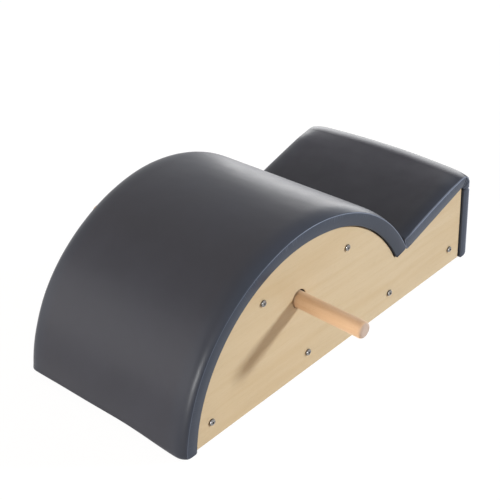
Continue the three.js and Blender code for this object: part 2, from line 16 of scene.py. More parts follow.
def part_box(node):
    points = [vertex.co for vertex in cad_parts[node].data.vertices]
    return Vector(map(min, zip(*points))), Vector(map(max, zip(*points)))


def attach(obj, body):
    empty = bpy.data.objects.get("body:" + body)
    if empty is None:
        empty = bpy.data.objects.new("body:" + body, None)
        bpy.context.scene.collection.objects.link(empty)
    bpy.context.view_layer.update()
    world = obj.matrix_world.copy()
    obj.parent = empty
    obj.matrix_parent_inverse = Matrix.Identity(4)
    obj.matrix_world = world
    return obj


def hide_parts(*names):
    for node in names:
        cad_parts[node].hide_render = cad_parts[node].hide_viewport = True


bl_info = {
    "name": "Pilates Spine Corrector",
    "version": (1, 0, 0),
    "blender": (4, 5, 0),
    "location": "View3D > Sidebar > Spine Corrector",
    "description": "Upholsters, finishes and lights a pilates spine corrector",
    "category": "Object",
}

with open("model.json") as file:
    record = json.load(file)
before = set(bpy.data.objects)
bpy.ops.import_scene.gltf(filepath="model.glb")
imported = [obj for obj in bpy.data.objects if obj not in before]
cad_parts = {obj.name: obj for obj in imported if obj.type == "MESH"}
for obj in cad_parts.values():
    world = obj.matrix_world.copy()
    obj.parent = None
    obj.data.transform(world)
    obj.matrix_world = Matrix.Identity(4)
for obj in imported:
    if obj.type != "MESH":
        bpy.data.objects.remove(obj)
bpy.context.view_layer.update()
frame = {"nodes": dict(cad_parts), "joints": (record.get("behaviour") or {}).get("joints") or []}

PANEL_LOW, PANEL_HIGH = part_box("side_panel_left")
HANDLE_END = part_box("handle_left")[1].y
SOCKET_LOW, SOCKET_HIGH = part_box("handle_socket_left")
BARREL_LOW, BARREL_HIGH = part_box("barrel_cover")
RAMP_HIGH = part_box("ramp_cover")[1]
BACK_LOW, BACK_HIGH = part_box("back_cover")
SIDES = {"left": 1, "right": -1}
RAILS = ("toe", "middle", "seat", "rear", "front_arch", "rear_arch")

# Small roundings of the bolts and grooves of the handles' tips
BOLT_LIP = 0.0003
TIP_GROOVE = 0.00025

# Fineness of the meshes
TINY = 1e-7
MERGE_REACH = 1e-5
ROW_STEP = 0.00125
TOP_COLUMNS = 19
FOLD_COLUMNS = 5
BAND_COLUMNS = 6
QUARTER_COLUMNS = TOP_COLUMNS + FOLD_COLUMNS + BAND_COLUMNS
COLUMN_CROWDING = 2.1
TURNED_SEGMENTS = 72
BOLT_SEGMENTS = 48
SHARP_ANGLE = math.radians(38)

# Where finishes change: each pair is where a mask starts and where it is full
BORE_RADIUS = 0.0193
BORE_WALL = (BORE_RADIUS + 0.0004, BORE_RADIUS + 0.0001)
END_GRAIN = (HANDLE_END - 0.001, HANDLE_END + 0.001)
BOLT_SEAT = (PANEL_HIGH.y + 0.0013, PANEL_HIGH.y + 0.0021)
FACE_VENEER = (0.0004, 0.0009)
RAMP_START = (0.20, 0.26)
LIT_BAND_HEIGHTS = (0.24, 0.33)
BAND_START = (0.0005, -0.0012)
NEAR_RIDGE = (0.048, 0.002)
TICK_REACH = (-0.014, -0.001)

# Half widths of the painted highlight line along the ridges, on the barrel and on the ramp, and of
# its brightest core
RIDGE_WIDTH = (0.0013, 0.0026)
RIDGE_CORE = 0.0002
# A pale layer and a dark layer of the plywood together
PLY_PAIR = 0.0028

BORE_SHADE = (0.012, 0.009, 0.007)
TARNISH = (0.05, 0.05, 0.05)
SEAT_SHADE = (0.02, 0.02, 0.02)
FLOOR_PAINT = (0.86, 0.86, 0.86)
WHITE = (1, 1, 1)
PICTURE_MILLIMETRES = 36


def length_setting(name, description, metres):
    return FloatProperty(name=name, description=description, default=metres, unit="LENGTH")


def angle_setting(name, description, degrees):
    return FloatProperty(
        name=name, description=description, default=math.radians(degrees), unit="ROTATION")


def number_setting(name, description, default, **limits):
    return FloatProperty(name=name, description=description, default=default, **limits)


def colour_setting(name, description, default):
    return FloatVectorProperty(
        name=name, description=description, default=default, subtype="COLOR", min=0, max=1)


def place_setting(name, description, default):
    return FloatVectorProperty(
        name=name, description=description, default=default, subtype="TRANSLATION")


def direction_setting(name, description, default):
    return FloatVectorProperty(
        name=name, description=description, default=default, subtype="DIRECTION")


class PadSizes(bpy.types.PropertyGroup):
    """Sizes of the upholstered pads."""

    arch_radius: length_setting("Arch radius", "Radius of the side panels' arch", 0.335)
    seat_height: length_setting(
        "Seat height", "Height of the shelf in the valley, where the barrel pad ends", 0.125)
    shadow_gap: length_setting("Shadow gap", "Gap between a panel's edge and the pad on it", 0.002)
    contact_gap: length_setting(
        "Contact gap", "Gap between pads that rest against each other", 0.0006)
    ramp_angle: angle_setting("Ramp angle", "Slope of the ramp", 16.44)
    seat_end_angle: angle_setting(
        "Seat end angle", "Slope of the barrel pad's end face in the valley", 13)
    seat_end_ease: length_setting(
        "Seat end ease", "Reach of the rounding at the barrel pad's end in the valley", 0.008)
    toe_end_ease: length_setting(
        "Toe end ease", "Reach of the rounding at the barrel pad's toe", 0.013)
    toe_lift: length_setting(
        "Toe lift", "How far the toe's lower edge is pulled up away from the near corner", 0.0205)
    barrel_edge_drop: length_setting(
        "Barrel edge drop", "How far the barrel's skin falls from its crown to its ridges", 0.0125)
    ramp_height: length_setting("Ramp pad height", "Thickness of the ramp pad", 0.035)
    ramp_bow: length_setting("Ramp bow", "How far the ramp pad's skin bows along the slope", 0.002)
    ramp_edge_drop: length_setting(
        "Ramp edge drop", "How far the ramp's skin falls to its ridges", 0.008)
    ramp_foot_ease: length_setting(
        "Ramp foot ease", "Reach of the roundings at the ramp pad's foot", 0.0065)
    foot_swell: length_setting(
        "Foot swell", "How far the ramp pad's foot swells to the barrel at its corners", 0.005)
    nose_radius: length_setting("Nose radius", "Rounding of the ramp pad's top corner", 0.025)
    crest_radius: length_setting(
        "Crest radius", "Wider rounding between the ramp pad's slope and its nose", 0.06)
    nose_start: angle_setting(
        "Nose start", "Direction from the crest's centre in which the nose's arc starts", 78)
    nose_fall: length_setting(
        "Nose fall", "How far the rolled nose falls from mid-width to its two ends", 0.009)
    crest_fall: length_setting(
        "Crest fall", "How far the ramp's crest lies below the plain pad's", 0.0022)
    rear_fullness: length_setting(
        "Rear fullness", "How far the nose and the back pad swell past the plain pads", 0.003)
    crevice: length_setting("Crevice", "Gap between the nose's lip and the back pad", 0.0016)
    nose_lip_drop: length_setting(
        "Nose lip drop", "How far the nose's lip hangs below the panels' top corner", 0.0115)
    gather_depth: length_setting(
        "Gather depth", "Depth of the gathered folds at the nose's two ends", 0.003)
    back_corner_radius: length_setting(
        "Back corner radius", "Rounding of a side panel's top rear corner", 0.009)
    back_edge_drop: length_setting(
        "Back edge drop", "How far the back pad's skin falls to its ridges", 0.003)
    corner_radius: length_setting(
        "Pad corner radius", "Rounding of the pads' smaller corners", 0.008)
    shoulder_width: length_setting(
        "Shoulder width", "How far in from a ridge the skin starts to fall", 0.044)
    toe_shoulder_width: length_setting(
        "Toe shoulder width", "How far in from a ridge the skin starts to fall at the toe", 0.027)
    shoulder_power: number_setting(
        "Shoulder power", "How suddenly the skin falls over its shoulders", 3.3)
    ridge_radius: length_setting(
        "Ridge radius", "Radius of the skin's sharpest fold along the ridges", 0.0016)
    side_draw: length_setting(
        "Side draw", "How far the side bands are drawn in under the ridges", 0.0015)
    left_draw: length_setting(
        "Left draw", "How much narrower the pads are on their left side", 0.0017)
    lip_hang: length_setting(
        "Lip hang", "How far the side bands hang over the panels' faces", 0.004)
    band_bulge: length_setting(
        "Band bulge", "How far the side bands swell between ridge and panel", 0.0008)
    base_radius: length_setting(
        "Base radius", "Rounding where the cover turns in under its board", 0.0018)
    pucker_pitch: length_setting(
        "Pucker pitch", "Spacing of the small pulls along the ridges", 0.0058)
    pucker_depth: length_setting(
        "Pucker depth", "Depth of the small pulls along the ridges", 0.00045)
    foam_waver: length_setting("Foam waver", "Unevenness of the foam under the skin", 0.0004)
    hem_depth: length_setting("Hem depth", "How far the cover turns in under its board", 0.018)
    hem_rise: length_setting(
        "Hem rise", "How far the hem's inner edge is tucked up, into the board", 0.0055)


class HardwareSizes(bpy.types.PropertyGroup):
    """Sizes of the bolts and of the turned handles."""

    head_radius: length_setting("Head radius", "Radius of a bolt's button head", 0.007)
    head_height: length_setting("Head height", "Height of a bolt's button head", 0.0044)
    rim_height: length_setting("Rim height", "Height of the button head's upright rim", 0.0016)
    crown_radius: length_setting("Crown radius", "Radius of the button head's flat crown", 0.0036)
    socket_flats: length_setting(
        "Socket flats", "Width across the flats of the hexagon socket", 0.005)
    socket_depth: length_setting("Socket depth", "Depth of the hexagon socket", 0.0026)
    shank_radius: length_setting("Shank radius", "Radius of a bolt's shank", 0.004)
    handle_radius: length_setting("Handle radius", "Radius of the turned handles", 0.0175)
    handle_length: length_setting("Handle length", "Length of the turned handles", 0.236)
    handle_reach: length_setting(
        "Handle reach", "How far the turned tip reaches past the plain handle", 0.0025)
    handle_tip_radius: length_setting(
        "Handle tip radius", "Rounding of a handle's outer end", 0.007)
    handle_chamfer: length_setting("Handle chamfer", "Chamfer of a handle's inner end", 0.002)


class FinishColours(bpy.types.PropertyGroup):
    """Colours of the visible materials."""

    leather: colour_setting("Leather", "Charcoal of the pads' tops", (0.033, 0.035, 0.047))
    # Painted shade: the ramp's top is the same leather as the barrel's, painted darker for the
    # shade it lies in behind the barrel
    leather_ramp_shade: colour_setting(
        "Leather ramp", "Deeper charcoal of the ramp's top", (0.023, 0.0235, 0.037))
    leather_band: colour_setting(
        "Leather band", "Slate of the pads' side bands", (0.033, 0.0415, 0.060))
    # Painted highlight: the bright line that light gives on each ridge's sharp fold, painted into
    # the colour
    leather_ridge_highlight: colour_setting(
        "Leather crease", "Paler leather where the cover is stretched over a ridge",
        (0.34, 0.38, 0.47))
    veneer: colour_setting("Veneer", "Pale face veneer of the side panels", (0.68, 0.52, 0.32))
    veneer_streak: colour_setting(
        "Veneer streak", "Darker growth bands of the veneer", (0.61, 0.435, 0.235))
    ply_core: colour_setting("Ply core", "Darker layers on the plywood's edges", (0.40, 0.26, 0.14))
    pine: colour_setting("Pine", "Planed softwood of the rails", (0.62, 0.43, 0.21))
    pine_ring: colour_setting("Pine ring", "Late-wood lines of the softwood", (0.36, 0.19, 0.07))
    beech: colour_setting("Beech", "Waxed wood of the handles", (0.77, 0.53, 0.335))
    beech_fleck: colour_setting(
        "Beech fleck", "Short dark flecks of the handles' wood", (0.58, 0.34, 0.18))
    end_grain: colour_setting(
        "End grain", "Duller wood on the handles' outer ends", (0.56, 0.42, 0.34))
    steel: colour_setting("Steel", "Plating of the bolts", (0.30, 0.29, 0.285))
    zinc: colour_setting("Zinc", "Plating of the cross nuts and screws", (0.50, 0.51, 0.50))
    rubber: colour_setting("Rubber", "Anti-slip strips", (0.012, 0.012, 0.013))


class StudioSettings(bpy.types.PropertyGroup):
    """Camera, lamps and floor."""

    camera_place: place_setting(
        "Camera place", "Where the camera stands", (-1.6007, -1.4575, 1.4595))
    camera_aim: direction_setting(
        "Camera aim", "Direction that the camera looks in", (0.62747, 0.58311, -0.51600))
    camera_up: direction_setting(
        "Camera up", "Direction of the picture's upright", (0.4076, 0.3186, 0.8557))
    focal_length: number_setting("Focal length", "Focal length on a 36 mm square picture", 85.04)
    key_from: direction_setting(
        "Key from", "Direction that the key light comes from", (0.704, -0.648, 0.294))
    key_strength: number_setting("Key strength", "Strength of the key light", 3.2)
    key_colour: colour_setting("Key colour", "Colour of the key light", (0.74, 0.86, 1.0))
    key_spread: angle_setting(
        "Key spread", "Angle that the key light fills, which softens its shadows", 8)
    fill_from: direction_setting(
        "Fill from", "Direction that the fill light comes from", (-0.96, 0.17, 0.12))
    fill_strength: number_setting("Fill strength", "Strength of the fill light", 3.3)
    fill_colour: colour_setting("Fill colour", "Colour of the fill light", (1.0, 0.93, 0.86))
    fill_spread: angle_setting("Fill spread", "Angle that the fill light fills", 40)
    sheen_from: direction_setting(
        "Sheen from", "Direction of the wide light that only gives the front its sheen",
        (-0.745, 0.642, 0.18))
    sheen_strength: number_setting("Sheen strength", "Strength of the sheen light", 0.75)
    sheen_spread: angle_setting("Sheen spread", "Angle that the sheen light fills", 50)
    toe_from: direction_setting(
        "Toe from", "Direction that the toe light comes from", (-0.858, -0.427, 0.24))
    toe_strength: number_setting("Toe strength", "Strength of the toe light", 1.9)
    toe_spread: angle_setting("Toe spread", "Angle that the toe light fills", 12)
    rim_place: place_setting(
        "Rim place", "Where the low lamp behind the object stands", (0.75, 0.25, 0.34))
    rim_aim: place_setting(
        "Rim aim", "The point that the lamp behind is turned to", (-0.25, 0.25, 0.32))
    rim_power: number_setting("Rim power", "Power of the lamp behind, in watts", 2.3)
    rim_width: length_setting("Rim width", "Width of the lamp behind", 0.90)
    rim_height: length_setting("Rim height", "Height of the lamp behind", 0.26)
    sky_strength: number_setting(
        "Sky strength", "Strength of the white surroundings as a light", 0.30)
    sky_colour: colour_setting(
        "Sky colour", "Colour of the surroundings as a light", (1.0, 0.80, 0.64))
    floor_shadow_share: number_setting(
        "Floor shadow share", "How much of the object's shadow the white floor keeps",
        0.12, subtype="FACTOR", min=0, max=1)
    floor_glow: number_setting(
        "Floor glow", "Brightness of the white floor as the camera sees it", 1.09)
    floor_size: length_setting("Floor size", "Length of the square floor", 30)


# Outlines are drawn in the side view, where a point's x and y are the object's X and Z
def polar(centre, radius, angle):
    return centre + radius * Vector((math.cos(angle), math.sin(angle)))


def arc(centre, radius, start, end, steps=24):
    sweep = end - start
    return [polar(centre, radius, start + sweep * step / steps) for step in range(steps + 1)]


def angle_of(offset):
    return math.atan2(offset.y, offset.x)


def smooth(value, start, end):
    """A smooth step from 0 at the start to 1 at the end."""
    share = min(max((value - start) / (end - start), 0), 1)
    return share * share * (3 - 2 * share)


def stepped(value, first, *steps):
    """A first value, and shares that join it smoothly, each between its own start and end."""
    return sum((share * smooth(value, start, end) for share, start, end in steps), first)


def bell(value, middle, spread):
    return math.exp(-((value - middle) / spread) ** 2)


def eased(first, second, reach):
    """Two paths that meet in a corner, joined by a curve that leaves them at a reach from it."""
    corner = first[-1]
    before = [point for point in first if (point - corner).length > reach]
    after = [point for point in second if (point - corner).length > reach]
    start = corner + (before[-1] - corner).normalized() * reach
    end = corner + (after[0] - corner).normalized() * reach
    shares = [step / 10 for step in range(11)]
    bend = [start.lerp(corner, share).lerp(corner.lerp(end, share), share) for share in shares]
    return before + bend + after


def resample(points, count):
    """The same path with evenly spaced points, and its length."""
    lengths = [0]
    for first, second in zip(points, points[1:]):
        lengths.append(lengths[-1] + (second - first).length)
    evened, index = [], 0
    for step in range(count + 1):
        target = lengths[-1] * step / count
        while index < len(points) - 2 and lengths[index + 1] < target:
            index += 1
        span = lengths[index + 1] - lengths[index]
        share = (target - lengths[index]) / span if span else 0
        evened.append(points[index].lerp(points[index + 1], min(share, 1)))
    return evened, lengths[-1]


def nearest_on_path(path, point):
    """The closest point of a path to a given point."""
    best, best_gap = path[0], (path[0] - point).length
    for first, second in zip(path, path[1:]):
        span = second - first
        share = min(max((point - first).dot(span) / span.length_squared, 0), 1)
        place = first + share * span
        gap = (place - point).length
        if gap < best_gap - TINY:
            best, best_gap = place, gap
    return best


def nearest_vertex(path, point):
    return min(path, key=lambda vertex: (vertex - point).length)


def circle_at_height(centre, radius, height, side):
    return Vector((centre.x + side * math.sqrt(radius ** 2 - (height - centre.y) ** 2), height))


def reach_to_circle(start, along, radius):
    """How far a line goes before it meets a circle about the origin for the last time."""
    middle = start.dot(along)
    return -middle + math.sqrt(middle ** 2 - start.length_squared + radius ** 2)


def arch_centre(sizes):
    """The centre of the side panels' arch, from a panel's highest point and its toe corner."""
    rise = PANEL_HIGH.z - sizes.arch_radius
    fall = PANEL_LOW.z - rise
    return Vector((PANEL_LOW.x + math.sqrt(sizes.arch_radius ** 2 - fall ** 2), rise))


def crowded(share):
    """Packs columns towards the ridge: 0 at the middle of the width and 1 at the ridge."""
    return 1 - (1 - share) ** COLUMN_CROWDING


class Skin:
    """The closed skin of one pad: rows along its side view, and columns round its cross-section."""

    FULL_HEIGHT_SHARE = 0.8
    HEM_STEP = 0.0012
    SEAM_COLUMN = TOP_COLUMNS + 2
    SEAM_SPREAD = 2.6
    WAVER_SCALE = 13
    FINE_WAVER_SCALE = 2.7
    FINE_WAVER_SHARE = 0.5
    PUCKER_WANDER = 1.6
    PUCKER_WANDER_SCALE = 9
    PUCKER_PATCHES = (14, 3)
    PUCKER_SLICE = 0.7
    PUCKER_FADE = (-0.25, 0.35)
    LEAST_PUCKER = 0.35
    PUCKER_DRAW = 0.6

    def __init__(self, sizes, outer, inner, half_width):
        self.sizes = sizes
        self.length = resample(outer, 4)[1]
        self.rows = round(self.length / ROW_STEP)
        self.outer = resample(outer, self.rows)[0]
        self.inner = [nearest_on_path(inner, point) for point in self.outer]
        self.inner_ends = (inner[0], inner[-1])
        self.half_width = half_width
        self.full_height = max((a - b).length for a, b in zip(self.outer, self.inner))

    # What a pad sets for itself, from the run along its outline and the outline's point there
    def form(self, run, outer):
        """The fall to the ridges, the shoulders' width, the folds' radius and the bands' hang."""
        raise NotImplementedError

    def pull(self, run, y):
        """A shift of the whole section, in the side view."""
        return Vector((0, 0))

    def gather(self, run, ridge_gap):
        """How deep a gathered fold lies at a point."""
        return 0

    def section(self, row, run, around):
        """The skin's y and height over the base at a position round the section.

        Also gives the column, whether it is on top, the fullness and the gap past the ridge.
        """
        sizes = self.sizes
        outer, inner = self.outer[row], self.inner[row]
        height = (outer - inner).length
        fullness = smooth(height / self.full_height, 0, self.FULL_HEIGHT_SHARE)
        upper = around < 0.5
        reach = 1 - 4 * around if upper else 4 * around - 3
        column = abs(reach) * QUARTER_COLUMNS
        drop, shoulder, radius, hang = self.form(run, outer)
        drop, hang, draw = drop * fullness, hang * fullness, sizes.side_draw * fullness
        radius = min(radius, height / 3)
        base = min(sizes.base_radius, height / 4)
        power = sizes.shoulder_power
        half = self.half_width
        start_angle = math.atan(power * drop / shoulder)
        fold_top = height - drop
        band_top = fold_top - radius * math.cos(start_angle)
        if upper and column <= TOP_COLUMNS:
            flat = half - radius * (1 - math.sin(start_angle))
            y = flat * crowded(column / TOP_COLUMNS)
            z = height - drop * max(1 - (flat - y) / shoulder, 0) ** power
            ridge_gap = half - y
        elif upper and column <= TOP_COLUMNS + FOLD_COLUMNS:
            share = (column - TOP_COLUMNS) / FOLD_COLUMNS
            angle = start_angle + (math.pi / 2 - start_angle) * share
            y = half - radius * (1 - math.sin(angle))
            z = fold_top - radius * (math.cos(start_angle) - math.cos(angle))
            ridge_gap = radius * (1 - share)
        elif column > TOP_COLUMNS + FOLD_COLUMNS:
            share = (column - TOP_COLUMNS - FOLD_COLUMNS) / BAND_COLUMNS / 2
            down = share if upper else 1 - share
            y = half - draw * down + sizes.band_bulge * math.sin(math.pi * down) * fullness
            z = band_top + (base - hang - band_top) * down
            ridge_gap = z - band_top
        else:
            foot = half - draw
            ridge_gap = -band_top
            if column > TOP_COLUMNS:
                angle = math.pi / 2 * (column - TOP_COLUMNS) / FOLD_COLUMNS
                y = foot - base * (1 - math.sin(angle))
                z = base * (1 - math.cos(angle)) - hang
            else:
                y = (foot - base) * crowded(column / TOP_COLUMNS)
                z = self.tuck(y, inner) - hang * smooth(y, PANEL_HIGH.y, foot - base)
                ridge_gap -= foot - y
        return -y if reach < 0 else y, z, column, upper, fullness, ridge_gap

    def tuck(self, y, inner):
        """How far the underside is tucked up into the board, inside the hem."""
        sizes = self.sizes
        from_end = min((inner - end).length for end in self.inner_ends)
        inside = smooth(from_end, sizes.hem_depth, sizes.hem_depth + self.HEM_STEP)
        across = smooth(PANEL_LOW.y - y, 0, self.HEM_STEP)
        return sizes.hem_rise * inside * across

    def waver(self, point):
        """The foam's unevenness at a point, coarse and fine."""
        coarse = point * self.WAVER_SCALE
        fine = coarse * self.FINE_WAVER_SCALE
        return noise.noise(coarse) + self.FINE_WAVER_SHARE * noise.noise(fine)

    def pucker(self, point, run, y):
        """The depth of the small pulls along the ridges, which fade in and out in patches."""
        wander = self.PUCKER_WANDER * noise.noise(point * self.PUCKER_WANDER_SCALE)
        phase = math.pi * run / self.sizes.pucker_pitch + wander
        along, across = self.PUCKER_PATCHES
        spot = Vector((run * along, y * across, self.PUCKER_SLICE))
        patch = smooth(noise.noise(spot), *self.PUCKER_FADE)
        strength = self.LEAST_PUCKER + (1 - self.LEAST_PUCKER) * patch
        return self.sizes.pucker_depth * abs(math.sin(phase)) * strength

    def mould(self, co):
        """Where a point of the flat grid goes, and its run along the pad and gap past the ridge."""
        sizes = self.sizes
        row = round((co.x + 0.5) * self.rows)
        run = row / self.rows * self.length
        y, z, column, upper, fullness, ridge_gap = self.section(row, run, co.y + 0.5)
        outer, inner = self.outer[row], self.inner[row]
        height = (outer - inner).length
        out = (outer - inner) / height if height > TINY else Vector((0, 0))
        lift = min(z / height, 1) if height > TINY else 0
        place = inner + out * z + self.pull(run, y) * lift
        narrowing = 1 - sizes.left_draw / self.half_width if y > 0 else 1
        point = Vector((place.x, y * narrowing, place.y))
        away = Vector((out.x, 0, out.y))
        seam = 0
        if upper:
            seam = bell(column, self.SEAM_COLUMN, self.SEAM_SPREAD)
            point += away * (self.waver(point) * sizes.foam_waver * fullness * (1 - seam))
        pucker = self.pucker(point, run, y) * seam * fullness
        off_base = ridge_gap > sizes.base_radius - height
        gather = self.gather(run, ridge_gap) * fullness if off_base else 0
        top_share = smooth(ridge_gap, -sizes.ridge_radius, 2 * sizes.ridge_radius)
        point -= away * (pucker + gather * top_share)
        point.y -= math.copysign(pucker * self.PUCKER_DRAW + gather * (1 - top_share), point.y)
        return point, run, ridge_gap


class BarrelSkin(Skin):
    """The arched pad, from its end in the valley to its toe on the floor."""

    CROWN_STEPS = 300
    # What changes with the angle round the arch, in degrees: 25 in the valley, 175 at the toe
    EDGE_DROP = (0.22, (0.53, 24, 85), (0.25, 85, 112), (-0.32, 120, 150))
    TOE_SHOULDER = (112, 150)
    FOLD_RADIUS = (1, (2.4, 125, 160))
    HANG = (60, 85)
    # Where the toe is lifted: in run before its end, and in y from the near corner
    LIFT_RUN = (0.06, 0.012)
    LIFT_ACROSS = (-0.205, -0.05)

    def __init__(self, sizes):
        self.centre = centre = arch_centre(sizes)
        inner_radius = sizes.arch_radius + sizes.shadow_gap
        outer_radius = BARREL_HIGH.z - centre.y
        seat_level = sizes.seat_height + sizes.shadow_gap / 2
        seat_tip = circle_at_height(centre, inner_radius, seat_level, 1)
        toe_tip = circle_at_height(centre, inner_radius, BARREL_LOW.z, -1)
        slope = Vector((math.cos(sizes.seat_end_angle), math.sin(sizes.seat_end_angle)))
        seat_corner = seat_tip + slope * reach_to_circle(seat_tip - centre, slope, outer_radius)
        toe_corner = circle_at_height(centre, outer_radius, BARREL_LOW.z, -1)
        crown = self.arch(outer_radius, seat_corner, toe_corner)
        outer = eased([seat_tip, seat_corner], crown, sizes.seat_end_ease)
        outer = eased(outer, [toe_corner, toe_tip], sizes.toe_end_ease)
        super().__init__(sizes, outer, self.arch(inner_radius, seat_tip, toe_tip), BARREL_HIGH.y)

    def arch(self, radius, first, last):
        start, end = angle_of(first - self.centre), angle_of(last - self.centre)
        return arc(self.centre, radius, start, end % (2 * math.pi), self.CROWN_STEPS)

    def form(self, run, outer):
        turn = math.degrees(angle_of(outer - self.centre))
        sizes = self.sizes
        wide, narrow = sizes.shoulder_width, sizes.toe_shoulder_width
        return (sizes.barrel_edge_drop * stepped(turn, *self.EDGE_DROP),
                wide + (narrow - wide) * smooth(turn, *self.TOE_SHOULDER),
                sizes.ridge_radius * stepped(turn, *self.FOLD_RADIUS),
                sizes.lip_hang * smooth(turn, *self.HANG))

    def pull(self, run, y):
        near_toe = smooth(self.length - run, *self.LIFT_RUN)
        return Vector((0, self.sizes.toe_lift * near_toe * smooth(y, *self.LIFT_ACROSS)))


class RampSkin(Skin):
    """The sloping pad, from its foot against the barrel, over the nose, to the lip behind."""

    CROWN_STEPS = 80
    # What changes with the run from the foot
    FOOT_DROP = (0.55, (0.45, 0.02, 0.07))
    FOOT_HANG = (0.01, 0.04)
    FOOT_SWELL = (0.058, 0.038)
    EXTRA_SWELL = (1, (0.6, 0.04, 0.025))
    # What changes with the run past the middle of the nose's arc
    NOSE_DROP = (0, (-0.4, -0.06, -0.005))
    LIP_DROP = (0.05, 0.038)
    SHOULDER = (0.75, (0.4, -0.09, -0.01))
    FOLD_RADIUS = (1, (1.2, -0.02, 0.01))
    NOSE_HANG = (0.02, -0.01)
    ROLL_START = (-0.09, 0)
    ROLL_END = (0.05, 0.03)
    ROLL_PULL = Vector((-0.4, -0.92))
    # Gathered folds at the nose's ends: place past its middle, share of the depth, and width
    GATHERS = ((-0.0075, 1.0, 0.0014), (0.004, 0.7, 0.0012), (0.0135, 1.0, 0.0016))
    GATHER_LEAN = 0.10
    GATHER_REACH = (0.022, 0.002)

    def __init__(self, sizes):
        centre = arch_centre(sizes)
        along = Vector((math.cos(sizes.ramp_angle), math.sin(sizes.ramp_angle)))
        out = Vector((-along.y, along.x))
        lip = BACK_HIGH.z + sizes.contact_gap
        top = Vector((PANEL_HIGH.x, lip + sizes.nose_lip_drop))
        base, crown = sizes.shadow_gap, sizes.shadow_gap + sizes.ramp_height
        radius, lip_radius = sizes.nose_radius, sizes.corner_radius
        seat_radius = BARREL_HIGH.z - centre.y + sizes.contact_gap

        def corner_centre(x, distance):
            return Vector((x, top.y + (distance - (x - top.x) * out.x) / out.y))

        def foot(distance):
            start = top + distance * out
            return start + along * reach_to_circle(start - centre, along, seat_radius)

        inset = polar(Vector((0, 0)), sizes.crest_radius - radius, sizes.nose_start)
        crest = corner_centre(RAMP_HIGH.x - radius - inset.x, crown - sizes.crest_radius)
        crest += Vector((sizes.rear_fullness, -sizes.crest_fall))
        nose = crest + inset
        corner = corner_centre(top.x - sizes.back_corner_radius, -sizes.back_corner_radius)
        wrap = sizes.back_corner_radius + base
        upright = math.pi / 2 + sizes.ramp_angle
        lip_angle = math.asin(max(lip - corner.y, 0) / wrap)
        base_foot, crown_foot = foot(base), foot(crown)
        foot_start = base_foot + along * 2 * sizes.ramp_foot_ease
        crown_top = polar(crest, sizes.crest_radius, upright)
        run = crown_top - crown_foot
        crown_line = [
            crown_foot + run * share + out * sizes.ramp_bow * (1 - (2 * share - 1) ** 2)
            for share in (step / self.CROWN_STEPS for step in range(self.CROWN_STEPS + 1))
        ]
        foot_angles = (angle_of(place - centre) for place in (base_foot, crown_foot))
        foot_arc = arc(centre, seat_radius, *foot_angles)
        lip_centre = Vector((nose.x + radius - lip_radius, lip + lip_radius))
        outer = eased([foot_start, base_foot], foot_arc, sizes.ramp_foot_ease / 4)
        outer = eased(outer, crown_line, sizes.ramp_foot_ease)
        outer += arc(crest, sizes.crest_radius, upright, sizes.nose_start)[1:]
        outer += arc(nose, radius, sizes.nose_start, 0)[1:]
        outer += arc(lip_centre, lip_radius, 0, -math.pi / 2)
        outer.append(polar(corner, wrap, lip_angle))
        inner = [foot_start, *arc(corner, wrap, upright, lip_angle)]
        super().__init__(sizes, outer, inner, RAMP_HIGH.y)
        nose_middle = nearest_vertex(outer, polar(nose, radius, upright / 2))
        self.nose_run = resample(outer[:outer.index(nose_middle)], 4)[1]
        self.slope = along

    def form(self, run, outer):
        past = run - self.nose_run
        sizes = self.sizes
        share = stepped(run, *self.FOOT_DROP) + stepped(past, *self.NOSE_DROP)
        return (sizes.ramp_edge_drop * min(share, smooth(past, *self.LIP_DROP)),
                sizes.shoulder_width * stepped(past, *self.SHOULDER),
                sizes.ridge_radius * stepped(past, *self.FOLD_RADIUS),
                sizes.lip_hang * smooth(run, *self.FOOT_HANG) * smooth(past, *self.NOSE_HANG))

    def pull(self, run, y):
        """The nose's fall to its two ends, and the swell of the foot's corners to the barrel."""
        sizes = self.sizes
        past = run - self.nose_run
        rolled = smooth(past, *self.ROLL_START) * smooth(past, *self.ROLL_END)
        fall = sizes.nose_fall * rolled * (abs(y) / self.half_width) ** 2
        inward = (self.half_width - abs(y)) / sizes.shoulder_width
        swell = sizes.foot_swell * max(1 - inward, 0) ** sizes.shoulder_power
        swell *= smooth(run, *self.FOOT_SWELL) * stepped(run, *self.EXTRA_SWELL)
        return self.ROLL_PULL * fall - self.slope * swell

    def gather(self, run, ridge_gap):
        past = run - self.nose_run + self.GATHER_LEAN * ridge_gap
        depth = sum(share * bell(past, place, width) for place, share, width in self.GATHERS)
        return self.sizes.gather_depth * depth * smooth(ridge_gap, *self.GATHER_REACH)


class BackSkin(Skin):
    """The upright pad behind the ramp."""

    FULLNESS_INSIDE = 0.4

    def __init__(self, sizes):
        low = BACK_LOW + Vector((self.FULLNESS_INSIDE * sizes.rear_fullness, 0, 0))
        high = BACK_HIGH + Vector((sizes.rear_fullness, 0, sizes.contact_gap - sizes.crevice))
        radius = sizes.corner_radius
        inner = [Vector((low.x, low.z)), Vector((low.x, high.z))]
        outer = [
            inner[0],
            *arc(Vector((high.x - radius, low.z + radius)), radius, -math.pi / 2, 0),
            *arc(Vector((high.x - radius, high.z - radius)), radius, 0, math.pi / 2),
            inner[1],
        ]
        super().__init__(sizes, outer, inner, high.y)

    def form(self, run, outer):
        return self.sizes.back_edge_drop, self.sizes.shoulder_width, self.sizes.ridge_radius, 0


# Pieces
def add_object(scene, name, data):
    thing = bpy.data.objects.new(name, data)
    scene.collection.objects.link(thing)
    return thing


def add_mesh(scene, name, mesh, material):
    """Makes a finished mesh an object with its finish."""
    data = bpy.data.meshes.new(name)
    mesh.to_mesh(data)
    mesh.free()
    data.materials.append(material)
    return add_object(scene, name, data)


def add_piece(scene, name, mesh, material, body, nodes):
    """Adds a smooth piece that rides a body and stands for its nodes."""
    piece = add_mesh(scene, name, mesh, material)
    for face in piece.data.polygons:
        face.use_smooth = True
    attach(piece, body)
    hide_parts(*nodes)
    return piece


